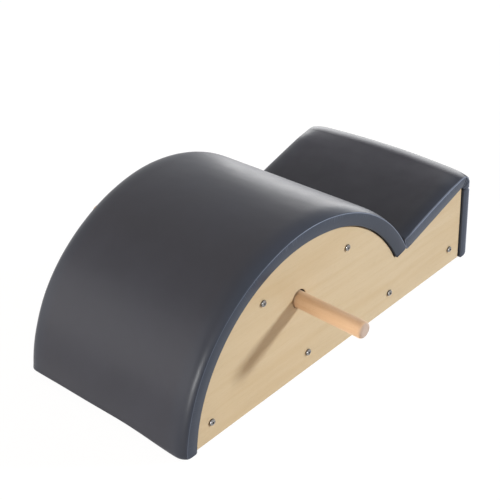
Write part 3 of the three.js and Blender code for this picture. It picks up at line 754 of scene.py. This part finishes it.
def add_turned(scene, name, mesh, finish, body, node):
    """Adds a turned piece, whose sharp edges stay sharp."""
    piece = add_piece(scene, name, mesh, finish(scene.spine_colours), body, [node])
    piece.data.set_sharp_from_angle(angle=SHARP_ANGLE)


def add_pad(scene, name, skin):
    """Moulds a grid into a pad. Its UV map holds the run along it and the gap past the ridge."""
    mesh = bmesh.new()
    bmesh.ops.create_grid(mesh, x_segments=skin.rows, y_segments=4 * QUARTER_COLUMNS, size=0.5)
    places = {}
    for vertex in mesh.verts:
        vertex.co, run, ridge_gap = skin.mould(vertex.co)
        places[vertex] = (run, ridge_gap)
    layer = mesh.loops.layers.uv.new("run_and_ridge")
    for face in mesh.faces:
        for loop in face.loops:
            loop[layer].uv = places[loop.vert]
    close_mesh(mesh)
    finish = leather(scene.spine_colours)
    nodes = [f"{name}_cover", f"{name}_foam"]
    pad = add_piece(scene, f"{name}_pad", mesh, finish, "root", nodes)


def close_mesh(mesh):
    bmesh.ops.remove_doubles(mesh, verts=mesh.verts, dist=MERGE_REACH)
    bmesh.ops.recalc_face_normals(mesh, faces=mesh.faces)


def turned(profile, segments):
    """A closed solid turned about Z, from a profile of radii and heights that ends on the axis."""
    mesh = bmesh.new()
    corners = [mesh.verts.new((radius, 0, height)) for radius, height in profile]
    edges = [mesh.edges.new(pair) for pair in zip(corners, corners[1:])]
    bmesh.ops.spin(mesh, geom=corners + edges, cent=(0, 0, 0), axis=(0, 0, 1), angle=2 * math.pi,
                   steps=segments, use_merge=True)
    close_mesh(mesh)
    return mesh


def quarter_round(radius, height, across, up, steps=8):
    """Profile points of a quarter round, from its side to its top, about a radius and height."""
    turn = [math.pi / 2 * step / steps for step in range(steps + 1)]
    return [(radius + across * math.cos(angle), height + up * math.sin(angle)) for angle in turn]


def add_bolt(scene, rail, side):
    """A button-head bolt with a hexagon socket, its head on the face of a side panel."""
    sizes = scene.spine_hardware
    node = f"frame_bolt_{rail}_{side}"
    low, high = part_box(node)
    sign = SIDES[side]
    seat_y = (high.y if sign > 0 else low.y) - sign * sizes.head_height
    shank = (high.y - low.y) - sizes.head_height
    middle = (low + high) / 2
    apothem = sizes.socket_flats / 2
    floor = sizes.head_height - sizes.socket_depth
    across, up = sizes.head_radius - sizes.crown_radius, sizes.head_height - sizes.rim_height
    dome = quarter_round(sizes.crown_radius, sizes.rim_height, across, up)
    mesh = turned([
        (0, floor - BOLT_LIP), (apothem, floor), (apothem, sizes.head_height - BOLT_LIP),
        (apothem + BOLT_LIP, sizes.head_height), *reversed(dome),
        (sizes.head_radius, BOLT_LIP), (sizes.head_radius - BOLT_LIP, 0), (sizes.shank_radius, 0),
        (sizes.shank_radius, BOLT_LIP - shank), (sizes.shank_radius - 2 * BOLT_LIP, -shank),
        (0, -shank),
    ], BOLT_SEGMENTS)
    for vertex in mesh.verts:
        reach = vertex.co.xy.length
        if TINY < reach < apothem + 1.5 * BOLT_LIP and vertex.co.z > 0:
            sixth = angle_of(vertex.co.xy) % (math.pi / 3) - math.pi / 6
            vertex.co.xy *= 1 / math.cos(sixth)
    turn = Matrix.Rotation(-sign * math.pi / 2, 4, "X")
    mesh.transform(Matrix.Translation((middle.x, seat_y, middle.z)) @ turn)
    add_turned(scene, f"bolt_{rail}_{side}", mesh, steel, "root", node)


def add_handle(scene, side):
    """A turned handle along the axis of its joint, from the end in its socket to its round tip."""
    sizes = scene.spine_hardware
    node = f"handle_{side}"
    low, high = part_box(node)
    axis = next(Vector(joint["axis"]) for joint in frame["joints"] if joint["child"] == node)
    half, radius = (sizes.handle_length + sizes.handle_reach) / 2, sizes.handle_radius
    tip, chamfer = sizes.handle_tip_radius, sizes.handle_chamfer
    mesh = turned([
        (0, -half), (radius - chamfer, -half), (radius, chamfer - half), (radius, -half / 2),
        (radius, 0), (radius, half / 2), (radius, half - tip - 2 * TIP_GROOVE),
        *quarter_round(radius - tip, half - tip, tip, tip),
        (radius - tip - TIP_GROOVE, half - TIP_GROOVE), (radius - tip - 2 * TIP_GROOVE, half),
        (radius / 3, half), (0, half),
    ], TURNED_SEGMENTS)
    turn = Vector((0, 0, 1)).rotation_difference(axis).to_matrix().to_4x4()
    middle = (low + high) / 2 + axis * sizes.handle_reach / 2
    mesh.transform(Matrix.Translation(middle) @ turn)
    add_turned(scene, f"turned_handle_{side}", mesh, beech, node, node)


def dress_node(name, material):
    """Gives a CAD node that stays in view its material."""
    node = frame["nodes"][name]
    node.data.materials.clear()
    node.data.materials.append(material)


# Materials
class Wiring:
    """Adds nodes to a node tree, and sets or links their inputs by name."""

    def __init__(self, tree):
        self.tree = tree

    def add(self, kind, inputs=None, **settings):
        node = self.tree.nodes.new(kind)
        for name, value in settings.items():
            setattr(node, name, value)
        for name, value in (inputs or {}).items():
            self.feed(value, node.inputs[name])
        return node

    def feed(self, value, socket):
        """Links another node's output, or sets a value. A colour's alpha is one."""
        if isinstance(value, bpy.types.NodeSocket):
            self.tree.links.new(value, socket)
        else:
            socket.default_value = (*value, 1) if socket.type == "RGBA" else value

    def maths(self, kind, *values):
        return self.add("ShaderNodeMath", dict(enumerate(values)), operation=kind).outputs[0]

    def times(self, first, second):
        return self.maths("MULTIPLY", first, second)

    def vectors(self, kind, inputs, output="Vector"):
        return self.add("ShaderNodeVectorMath", inputs, operation=kind).outputs[output]

    def parts(self, vector):
        return self.add("ShaderNodeSeparateXYZ", {"Vector": vector}).outputs

    def across(self, where):
        """How far a point lies from the middle of the width."""
        return self.maths("ABSOLUTE", self.parts(where)["Y"])

    def span(self, value, from_low, from_high, to_low=0, to_high=1):
        """A value moved from one range to another, and held inside it."""
        return self.add("ShaderNodeMapRange", {
            "Value": value, "From Min": from_low, "From Max": from_high,
            "To Min": to_low, "To Max": to_high}).outputs["Result"]

    def stretch(self, vector, scale, rotation=(0, 0, 0)):
        return self.add("ShaderNodeMapping", {
            "Vector": vector, "Scale": scale, "Rotation": rotation}).outputs["Vector"]

    def grain_along_y(self, where):
        return self.stretch(where, (1, 1, 1), (0, 0, -math.pi / 2))

    def noise(self, vector, scale, detail=2, roughness=0.5, distortion=0):
        """A noise pattern. Three scales stretch it along the axes."""
        if isinstance(scale, tuple):
            vector, scale = self.stretch(vector, scale), 1
        return self.add("ShaderNodeTexNoise", {
            "Vector": vector, "Scale": scale, "Detail": detail, "Roughness": roughness,
            "Distortion": distortion}).outputs["Fac"]

    def cells(self, vector, scale, randomness=1):
        inputs = {"Vector": vector, "Scale": scale, "Randomness": randomness}
        return self.add("ShaderNodeTexVoronoi", inputs).outputs["Distance"]

    def mix(self, share, first, second):
        node = self.add("ShaderNodeMix", {0: share, 6: first, 7: second}, data_type="RGBA")
        return node.outputs[2]

    def tint(self, colour, value, low, high, share, tone):
        """A colour that takes on a share of a tone as a value goes from low to high."""
        return self.mix(self.span(value, low, high, 0, share), colour, tone)

    def bump(self, height, distance, strength, **normal):
        inputs = {"Height": height, "Distance": distance, "Strength": strength, **normal}
        return self.add("ShaderNodeBump", inputs).outputs["Normal"]

    def finish(self, **inputs):
        shader = self.add("ShaderNodeBsdfPrincipled", titled(inputs))
        self.add("ShaderNodeOutputMaterial", {"Surface": shader.outputs["BSDF"]})


def titled(inputs):
    """Inputs given as keywords, under the titles of their sockets."""
    return {name.replace("_", " "): value for name, value in inputs.items()}


def scaled(colour, factor):
    """A colour made brighter, within what a surface can give back."""
    return [min(factor * part, 1) for part in colour]


def empty_material(name):
    material = bpy.data.materials.new(name)
    material.use_nodes = True
    material.node_tree.nodes.clear()
    return material, Wiring(material.node_tree)


def finish_of(name):
    """Makes a material once, wired by the decorated function. Later calls return the same one."""
    def wrap(wire):
        def make(colours):
            if name not in bpy.data.materials:
                wiring = empty_material(name)[1]
                wire(wiring, wiring.add("ShaderNodeTexCoord").outputs, colours)
            return bpy.data.materials[name]
        return make
    return wrap


def effect(inputs, outputs):
    """Makes a function wire a shader node group once, and place it with a material's own values."""
    def wrap(wire):
        name = wire.__name__

        def place(wiring, **values):
            if name not in bpy.data.node_groups:
                group = bpy.data.node_groups.new(name, "ShaderNodeTree")
                sockets = group.interface
                for title, default in inputs.items():
                    kind = "NodeSocketVector" if title == "Vector" else "NodeSocketFloat"
                    socket = sockets.new_socket(title, in_out="INPUT", socket_type=kind)
                    socket.default_value = default
                for title in outputs:
                    sockets.new_socket(title, in_out="OUTPUT", socket_type="NodeSocketFloat")
                inner = Wiring(group)
                results = wire(inner, inner.add("NodeGroupInput").outputs)
                inner.add("NodeGroupOutput", dict(zip(outputs, results)))
            group = bpy.data.node_groups[name]
            return wiring.add("ShaderNodeGroup", titled(values), node_tree=group).outputs
        return place
    return wrap


@effect({"Vector": (0, 0, 0), "Band Scale": 60.0, "Waver": 0.02}, ("Bands", "Fibres", "Pores"))
def timber_figure(wiring, given):
    """Growth bands, fibres and pores of wood whose grain runs along the X of the given vector."""
    waver = wiring.times(wiring.noise(given["Vector"], (2.2, 7, 7)), given["Waver"])
    shift = wiring.add("ShaderNodeCombineXYZ", {"Z": waver}).outputs[0]
    bent = wiring.vectors("ADD", {0: given["Vector"], 1: shift})
    drawn_out = wiring.stretch(bent, (0.055, 1, 1))
    banded = wiring.vectors("SCALE", {0: drawn_out, "Scale": given["Band Scale"]})
    bands = wiring.noise(banded, 1, detail=4, roughness=0.58, distortion=0.25)
    fibres = wiring.noise(bent, (14, 700, 700), detail=3, roughness=0.6)
    pores = wiring.noise(bent, (70, 1700, 1700), detail=1)
    return bands, fibres, wiring.span(pores, 0.62, 0.74)


@effect({"Vector": (0, 0, 0), "Scale": 10.0}, ("Patches", "Scratches"))
def light_wear(wiring, given):
    """Patches of handling marks and settled dust, and fine rubbed scratches."""
    where = wiring.vectors("SCALE", {0: given["Vector"], "Scale": given["Scale"]})
    patches = wiring.noise(where, 1, detail=5, roughness=0.62)
    rubbed = wiring.noise(wiring.stretch(where, (4, 90, 22), (0.4, 0.2, 0.6)), 1)
    return wiring.span(patches, 0.38, 0.68), wiring.span(rubbed, 0.66, 0.74)


@finish_of("charcoal_leather")
def leather(wiring, place, colours):
    where = place["Object"]
    spot, mapped = wiring.parts(where), wiring.parts(place["UV"])
    run, ridge_gap = mapped["X"], mapped["Y"]
    wear = light_wear(wiring, Vector=where, Scale=9.0)
    # Its colour: tops, side bands, and a pale line along the ridges, which is a painted highlight
    on_ramp = wiring.span(spot["X"], *RAMP_START)
    on_band = wiring.span(ridge_gap, *BAND_START)
    # Painted light: the side bands are painted lighter on the ramp and towards the top of the arch,
    # as if lit from above
    upper = wiring.maths("MAXIMUM", on_ramp, wiring.span(spot["Z"], *LIT_BAND_HEIGHTS, 0, 0.45))
    band = wiring.mix(upper, colours.leather_band, scaled(colours.leather_band, 1.55))
    # Painted shade: the tops from the ramp onwards take the darker ramp colour
    top = wiring.mix(on_ramp, colours.leather, colours.leather_ramp_shade)
    top = wiring.tint(top, ridge_gap, *NEAR_RIDGE, 0.8, colours.leather_band)
    colour = wiring.mix(on_band, top, band)
    colour = wiring.tint(colour, wear["Patches"], 0, 1, 0.35, scaled(colours.leather, 1.35))
    ridge_width = wiring.span(on_ramp, 0, 1, *RIDGE_WIDTH)
    on_ridge = wiring.span(wiring.maths("ABSOLUTE", ridge_gap), ridge_width, RIDGE_CORE)
    # Small ticks across the bands, in patches, where the cover is pulled
    along = wiring.add("ShaderNodeCombineXYZ", {"X": run}).outputs[0]
    ticks = wiring.times(wiring.span(wiring.noise(along, 420, detail=1), 0.5, 0.66),
                         wiring.span(wiring.noise(where, 14, detail=1), 0.42, 0.58))
    ticks = wiring.times(wiring.times(ticks, wiring.span(ridge_gap, *TICK_REACH)), on_band)
    # How strong the painted ridge highlight is along the run: full on the ramp, weaker towards the
    # valley and much weaker towards the toe
    ridge_highlight_share = wiring.maths("MINIMUM", wiring.span(run, 0.45, 0.75, 1, 0.25),
                           wiring.span(run, 0.05, 0.4, 0.55, 1))
    ridge_highlight_share = wiring.maths("MAXIMUM", ridge_highlight_share, on_ramp)
    # Painted highlights: the ridge line and the small ticks' pale colour take the ridge highlight
    # colour; the ticks' pulls themselves are real bumps
    painted_highlight = wiring.maths("MAXIMUM", wiring.times(on_ridge, 0.75), wiring.times(ticks, 0.22))
    colour = wiring.mix(wiring.times(painted_highlight, ridge_highlight_share), colour, colours.leather_ridge_highlight)
    # Its grain
    cells = wiring.cells(where, 900.0, randomness=0.9)
    creases = wiring.noise(where, 420, detail=3, roughness=0.6)
    grain = wiring.bump(wiring.maths("ADD", cells, creases), 0.00012, 0.22)
    pulls = wiring.bump(ticks, 0.00035, 0.6, Normal=grain)
    dents = wiring.bump(wiring.noise(where, 38), 0.0009, 0.18, Normal=pulls)
    rough = wiring.maths("ADD", wiring.span(wear["Patches"], 0, 1, 0.34, 0.40),
                         wiring.span(cells, 0, 1, -0.02, 0.03))
    rough = wiring.maths("SUBTRACT", rough, wiring.times(on_ramp, 0.045))
    wiring.finish(Base_Color=colour, Roughness=rough, IOR=1.36, Normal=dents)


def shade_bores(wiring, where, colour):
    """Darkens the walls of the bores that the handles sit in, which hardly any light reaches."""
    centre = (SOCKET_LOW + SOCKET_HIGH) / 2
    level = wiring.stretch(where, (1, 0, 1))
    reach = wiring.vectors("DISTANCE", {0: level, 1: (centre.x, 0, centre.z)}, "Value")
    return wiring.mix(wiring.span(reach, *BORE_WALL), colour, BORE_SHADE)


@finish_of("pale_veneer")
def veneer(wiring, place, colours):
    where = place["Object"]
    streak, core = colours.veneer_streak, colours.ply_core
    figure = timber_figure(wiring, Vector=where, Band_Scale=34.0, Waver=0.05)
    wear = light_wear(wiring, Vector=where, Scale=6.0)
    face = wiring.tint(colours.veneer, figure["Bands"], 0.40, 0.68, 0.8, streak)
    face = wiring.tint(face, figure["Fibres"], 0.45, 0.75, 0.22, streak)
    face = wiring.tint(face, figure["Pores"], 0, 1, 0.3, core)
    face = wiring.tint(face, wear["Patches"], 0, 1, 0.25, scaled(colours.veneer, 1.08))
    # Darker and yellower towards the toe end
    face = wiring.tint(face, wiring.parts(where)["X"], 0.25, -0.35, 0.28, streak)
    # The laminated edge
    depth = wiring.maths("SUBTRACT", wiring.across(where), PANEL_LOW.y)
    behind = wiring.maths("SUBTRACT", PANEL_HIGH.y - PANEL_LOW.y, depth)
    layer = wiring.maths("SINE", wiring.times(depth, 2 * math.pi / PLY_PAIR))
    sawn = wiring.span(wiring.noise(where, (220, 900, 220)), 0.3, 0.7, 0, 0.5)
    layers = wiring.maths("ADD", wiring.span(layer, -0.3, 0.3, 0, 0.55), wiring.times(sawn, 0.5))
    edge = wiring.mix(layers, colours.veneer, core)
    on_edge = wiring.span(wiring.maths("MINIMUM", depth, behind), *FACE_VENEER)
    colour = shade_bores(wiring, where, wiring.mix(on_edge, face, edge))
    relief = wiring.maths("SUBTRACT", wiring.times(figure["Fibres"], 0.5), figure["Pores"])
    rough = wiring.maths("ADD", wiring.span(figure["Fibres"], 0, 1, 0.44, 0.56),
                         wiring.times(wear["Scratches"], 0.06))
    wiring.finish(Base_Color=colour, Roughness=rough, IOR=1.45,
                  Normal=wiring.bump(relief, 0.00008, 0.35))


@finish_of("planed_pine")
def pine(wiring, place, colours):
    where = place["Object"]
    along_y = wiring.grain_along_y(where)
    figure = timber_figure(wiring, Vector=along_y, Band_Scale=95.0, Waver=0.02)
    wear = light_wear(wiring, Vector=where, Scale=14.0)
    colour = wiring.tint(colours.pine, figure["Bands"], 0.46, 0.62, 0.55, colours.pine_ring)
    colour = wiring.tint(colour, figure["Fibres"], 0.5, 0.8, 0.3, colours.pine_ring)
    colour = wiring.tint(colour, wear["Patches"], 0, 1, 0.2, colours.veneer)
    rings = wiring.span(figure["Bands"], 0.46, 0.62, 0, 0.6)
    relief = wiring.maths("ADD", figure["Fibres"], rings)
    wiring.finish(Base_Color=shade_bores(wiring, where, colour), IOR=1.45,
                  Roughness=wiring.span(figure["Fibres"], 0, 1, 0.62, 0.78),
                  Normal=wiring.bump(relief, 0.00015, 0.4))


@finish_of("birch_board")
def board(wiring, place, colours):
    where = place["Object"]
    along_y = wiring.grain_along_y(where)
    figure = timber_figure(wiring, Vector=along_y, Band_Scale=26.0, Waver=0.05)
    wear = light_wear(wiring, Vector=where, Scale=8.0)
    colour = wiring.tint(colours.veneer_streak, figure["Bands"], 0.42, 0.66, 1, colours.pine)
    colour = wiring.tint(colour, figure["Fibres"], 0.45, 0.8, 0.35, colours.ply_core)
    colour = wiring.tint(colour, wear["Patches"], 0, 1, 0.25, colours.veneer)
    wiring.finish(Base_Color=colour, IOR=1.45,
                  Roughness=wiring.span(figure["Fibres"], 0, 1, 0.6, 0.74),
                  Normal=wiring.bump(figure["Fibres"], 0.0001, 0.4))


@finish_of("waxed_beech")
def beech(wiring, place, colours):
    where = place["Object"]
    along_y = wiring.grain_along_y(where)
    figure = timber_figure(wiring, Vector=along_y, Band_Scale=70.0, Waver=0.01)
    wear = light_wear(wiring, Vector=where, Scale=22.0)
    flecks = wiring.noise(along_y, (260, 1500, 1500), detail=1)
    colour = wiring.tint(colours.beech, figure["Bands"], 0.38, 0.7, 0.4, colours.beech_fleck)
    colour = wiring.tint(colour, flecks, 0.6, 0.72, 0.5, colours.beech_fleck)
    colour = wiring.tint(colour, wear["Patches"], 0, 1, 0.18, colours.veneer)
    colour = wiring.tint(colour, wiring.across(where), *END_GRAIN, 0.8, colours.end_grain)
    relief = wiring.maths("SUBTRACT", wiring.times(figure["Fibres"], 0.4), flecks)
    wiring.finish(Base_Color=colour, IOR=1.50,
                  Roughness=wiring.span(wear["Patches"], 0, 1, 0.40, 0.50),
                  Normal=wiring.bump(relief, 0.00006, 0.3))


def metal(wiring, where, colour, roughness, brushing, wear_scale):
    wear = light_wear(wiring, Vector=where, Scale=wear_scale)
    rough = wiring.maths("ADD", wiring.times(wear["Scratches"], 0.12),
                         wiring.span(wear["Patches"], 0, 1, roughness, roughness + 0.12))
    brushed = wiring.bump(wiring.noise(where, brushing), 0.00002, 0.3)
    tone = wiring.tint(colour, wear["Patches"], 0, 1, 0.15, TARNISH)
    wiring.finish(Base_Color=tone, Metallic=1.0, Roughness=rough, Normal=brushed)


@finish_of("bright_plated_steel")
def steel(wiring, place, colours):
    off_seat = wiring.span(wiring.across(place["Object"]), *BOLT_SEAT)
    tone = wiring.mix(off_seat, SEAT_SHADE, colours.steel)
    metal(wiring, place["Object"], tone, roughness=0.16, brushing=900, wear_scale=90.0)


@finish_of("zinc_plated_steel")
def zinc(wiring, place, colours):
    metal(wiring, place["Object"], colours.zinc, roughness=0.34, brushing=(500, 1600, 500),
          wear_scale=60.0)


@finish_of("anti_slip_rubber")
def rubber(wiring, place, colours):
    where = place["Object"]
    wear = light_wear(wiring, Vector=where, Scale=20.0)
    studs = wiring.cells(where, 420.0)
    colour = wiring.tint(colours.rubber, wear["Patches"], 0, 1, 0.3, scaled(colours.rubber, 2.5))
    wiring.finish(Base_Color=colour, IOR=1.45,
                  Roughness=wiring.span(wear["Patches"], 0, 1, 0.7, 0.9),
                  Normal=wiring.bump(studs, 0.0003, 0.5))


# Studio
def add_lamp(scene, name, kind, direction, **settings):
    """A lamp whose light comes from a direction."""
    lamp = bpy.data.lights.new(f"{name}_light", kind)
    for setting, value in settings.items():
        setattr(lamp, setting, value)
    stand = add_object(scene, f"{name}_light", lamp)
    stand.rotation_euler = Vector(direction).to_track_quat("Z", "Y").to_euler()
    return stand


def build_camera(scene, studio):
    aim = Vector(studio.camera_aim).normalized()
    up = (Vector(studio.camera_up) - Vector(studio.camera_up).dot(aim) * aim).normalized()
    camera = bpy.data.cameras.new("studio_camera")
    camera.lens = studio.focal_length
    camera.sensor_width = PICTURE_MILLIMETRES
    turn = Matrix((aim.cross(up), up, -aim)).transposed().to_4x4()
    scene.camera = add_object(scene, "studio_camera", camera)
    scene.camera.matrix_world = Matrix.Translation(studio.camera_place) @ turn


def build_lamps(scene, studio):
    """Four distant lamps and a long one behind. The key and fill are kept out of reflections."""
    colours = {"key": studio.key_colour, "fill": studio.fill_colour, "toe": WHITE, "sheen": WHITE}
    for name, colour in colours.items():
        direction, strength, spread = (
            getattr(studio, f"{name}_{part}") for part in ("from", "strength", "spread"))
        lamp = add_lamp(scene, name, "SUN", direction, energy=strength, angle=spread, color=colour)
        lamp.visible_glossy = name in ("toe", "sheen")
        lamp.visible_diffuse = name in ("key", "fill")
    behind = Vector(studio.rim_place) - Vector(studio.rim_aim)
    rim = add_lamp(scene, "rim", "AREA", behind, energy=studio.rim_power, shape="RECTANGLE",
                   size=studio.rim_width, size_y=studio.rim_height)
    rim.location = studio.rim_place
    rim.visible_camera = False


def seen_directly(wiring):
    """1 for camera, glossy and transmission rays, which see the white background, else 0."""
    path = wiring.add("ShaderNodeLightPath").outputs
    either = wiring.maths("MAXIMUM", path["Is Camera Ray"], path["Is Glossy Ray"])
    return wiring.maths("MAXIMUM", either, path["Is Transmission Ray"])


def build_sky(scene, studio):
    scene.world = bpy.data.worlds.new("white_surroundings")
    scene.world.use_nodes = True
    scene.world.node_tree.nodes.clear()
    wiring = Wiring(scene.world.node_tree)
    lighting = [studio.sky_strength * part for part in studio.sky_colour]
    colour = wiring.mix(seen_directly(wiring), lighting, WHITE)
    sky = wiring.add("ShaderNodeBackground", {"Color": colour, "Strength": 1.0})
    wiring.add("ShaderNodeOutputWorld", {"Surface": sky.outputs[0]})


def build_floor(scene, studio):
    material, wiring = empty_material("white_floor")
    share = wiring.times(seen_directly(wiring), 1 - studio.floor_shadow_share)
    paint = wiring.add("ShaderNodeBsdfDiffuse", {"Color": FLOOR_PAINT})
    glow = wiring.add("ShaderNodeEmission", {"Color": WHITE, "Strength": studio.floor_glow})
    mixed = wiring.add("ShaderNodeMixShader", {0: share, 1: paint.outputs[0], 2: glow.outputs[0]})
    wiring.add("ShaderNodeOutputMaterial", {"Surface": mixed.outputs[0]})
    mesh = bmesh.new()
    bmesh.ops.create_grid(mesh, x_segments=1, y_segments=1, size=studio.floor_size / 2)
    add_mesh(scene, "floor", mesh, material)


class SPINE_OT_studio(bpy.types.Operator):
    """Set up the camera, the lamps and the floor"""

    bl_idname = "spine_corrector.studio"
    bl_label = "Studio"

    def execute(self, context):
        scene, studio = context.scene, context.scene.spine_studio
        scene.view_settings.view_transform = "Standard"
        for build in (build_camera, build_lamps, build_sky, build_floor):
            build(scene, studio)
        return {"FINISHED"}


class SPINE_OT_barrel_pad(bpy.types.Operator):
    """Upholster the arched barrel pad"""

    bl_idname = "spine_corrector.barrel_pad"
    bl_label = "Barrel Pad"

    def execute(self, context):
        add_pad(context.scene, "barrel", BarrelSkin(context.scene.spine_pads))
        return {"FINISHED"}


class SPINE_OT_ramp_pad(bpy.types.Operator):
    """Upholster the ramp pad and its rolled nose"""

    bl_idname = "spine_corrector.ramp_pad"
    bl_label = "Ramp Pad"

    def execute(self, context):
        add_pad(context.scene, "ramp", RampSkin(context.scene.spine_pads))
        return {"FINISHED"}


class SPINE_OT_back_pad(bpy.types.Operator):
    """Upholster the upright pad behind the ramp"""

    bl_idname = "spine_corrector.back_pad"
    bl_label = "Back Pad"

    def execute(self, context):
        add_pad(context.scene, "back", BackSkin(context.scene.spine_pads))
        return {"FINISHED"}


class SPINE_OT_bolts(bpy.types.Operator):
    """Fit the button-head bolts of the six cross rails"""

    bl_idname = "spine_corrector.bolts"
    bl_label = "Bolts"

    def execute(self, context):
        for rail in RAILS:
            for side in SIDES:
                add_bolt(context.scene, rail, side)
        return {"FINISHED"}


class SPINE_OT_handles(bpy.types.Operator):
    """Turn the two wooden handles"""

    bl_idname = "spine_corrector.handles"
    bl_label = "Handles"

    def execute(self, context):
        for side in SIDES:
            add_handle(context.scene, side)
        return {"FINISHED"}


class SPINE_OT_timber(bpy.types.Operator):
    """Finish the side panels, rails, cleats, sockets and boards"""

    bl_idname = "spine_corrector.timber"
    bl_label = "Timber"

    def execute(self, context):
        colours = context.scene.spine_colours
        for side in SIDES:
            dress_node(f"side_panel_{side}", veneer(colours))
            for piece in ("ramp_cleat", "back_cleat", "handle_socket"):
                dress_node(f"{piece}_{side}", pine(colours))
        for rail in RAILS:
            dress_node(f"{rail}_rail", pine(colours))
        for pad in ("barrel", "ramp", "back"):
            dress_node(f"{pad}_board", board(colours))
        return {"FINISHED"}


class SPINE_OT_fixings(bpy.types.Operator):
    """Finish the cross nuts, the pad screws and the anti-slip strips"""

    bl_idname = "spine_corrector.fixings"
    bl_label = "Fixings"

    def execute(self, context):
        colours = context.scene.spine_colours
        for side in SIDES:
            dress_node(f"anti_slip_strip_{side}", rubber(colours))
            for rail in RAILS:
                dress_node(f"cross_nut_{rail}_{side}", zinc(colours))
            for carrier in ("front_arch", "rear_arch", "ramp", "back"):
                dress_node(f"{carrier}_pad_screw_{side}", zinc(colours))
        return {"FINISHED"}


class SPINE_PT_sidebar(bpy.types.Panel):
    bl_idname = "SPINE_PT_sidebar"
    bl_label = "Spine Corrector"
    bl_space_type = "VIEW_3D"
    bl_region_type = "UI"
    bl_category = "Spine Corrector"

    def draw(self, context):
        for step in STEPS:
            self.layout.operator(step.bl_idname)


STEPS = (SPINE_OT_studio, SPINE_OT_barrel_pad, SPINE_OT_ramp_pad, SPINE_OT_back_pad, SPINE_OT_bolts,
         SPINE_OT_handles, SPINE_OT_timber, SPINE_OT_fixings)
SETTINGS = {"spine_pads": PadSizes, "spine_hardware": HardwareSizes, "spine_colours": FinishColours,
            "spine_studio": StudioSettings}
CLASSES = (*SETTINGS.values(), *STEPS, SPINE_PT_sidebar)


def register():
    for entry in CLASSES:
        bpy.utils.register_class(entry)
    for name, group in SETTINGS.items():
        setattr(bpy.types.Scene, name, PointerProperty(type=group))


def unregister():
    for name in SETTINGS:
        delattr(bpy.types.Scene, name)
    for entry in reversed(CLASSES):
        bpy.utils.unregister_class(entry)


def main():
    register()
    for step in STEPS:
        group, name = step.bl_idname.split(".")
        getattr(getattr(bpy.ops, group), name)()


if __name__ == "__main__":
    main()
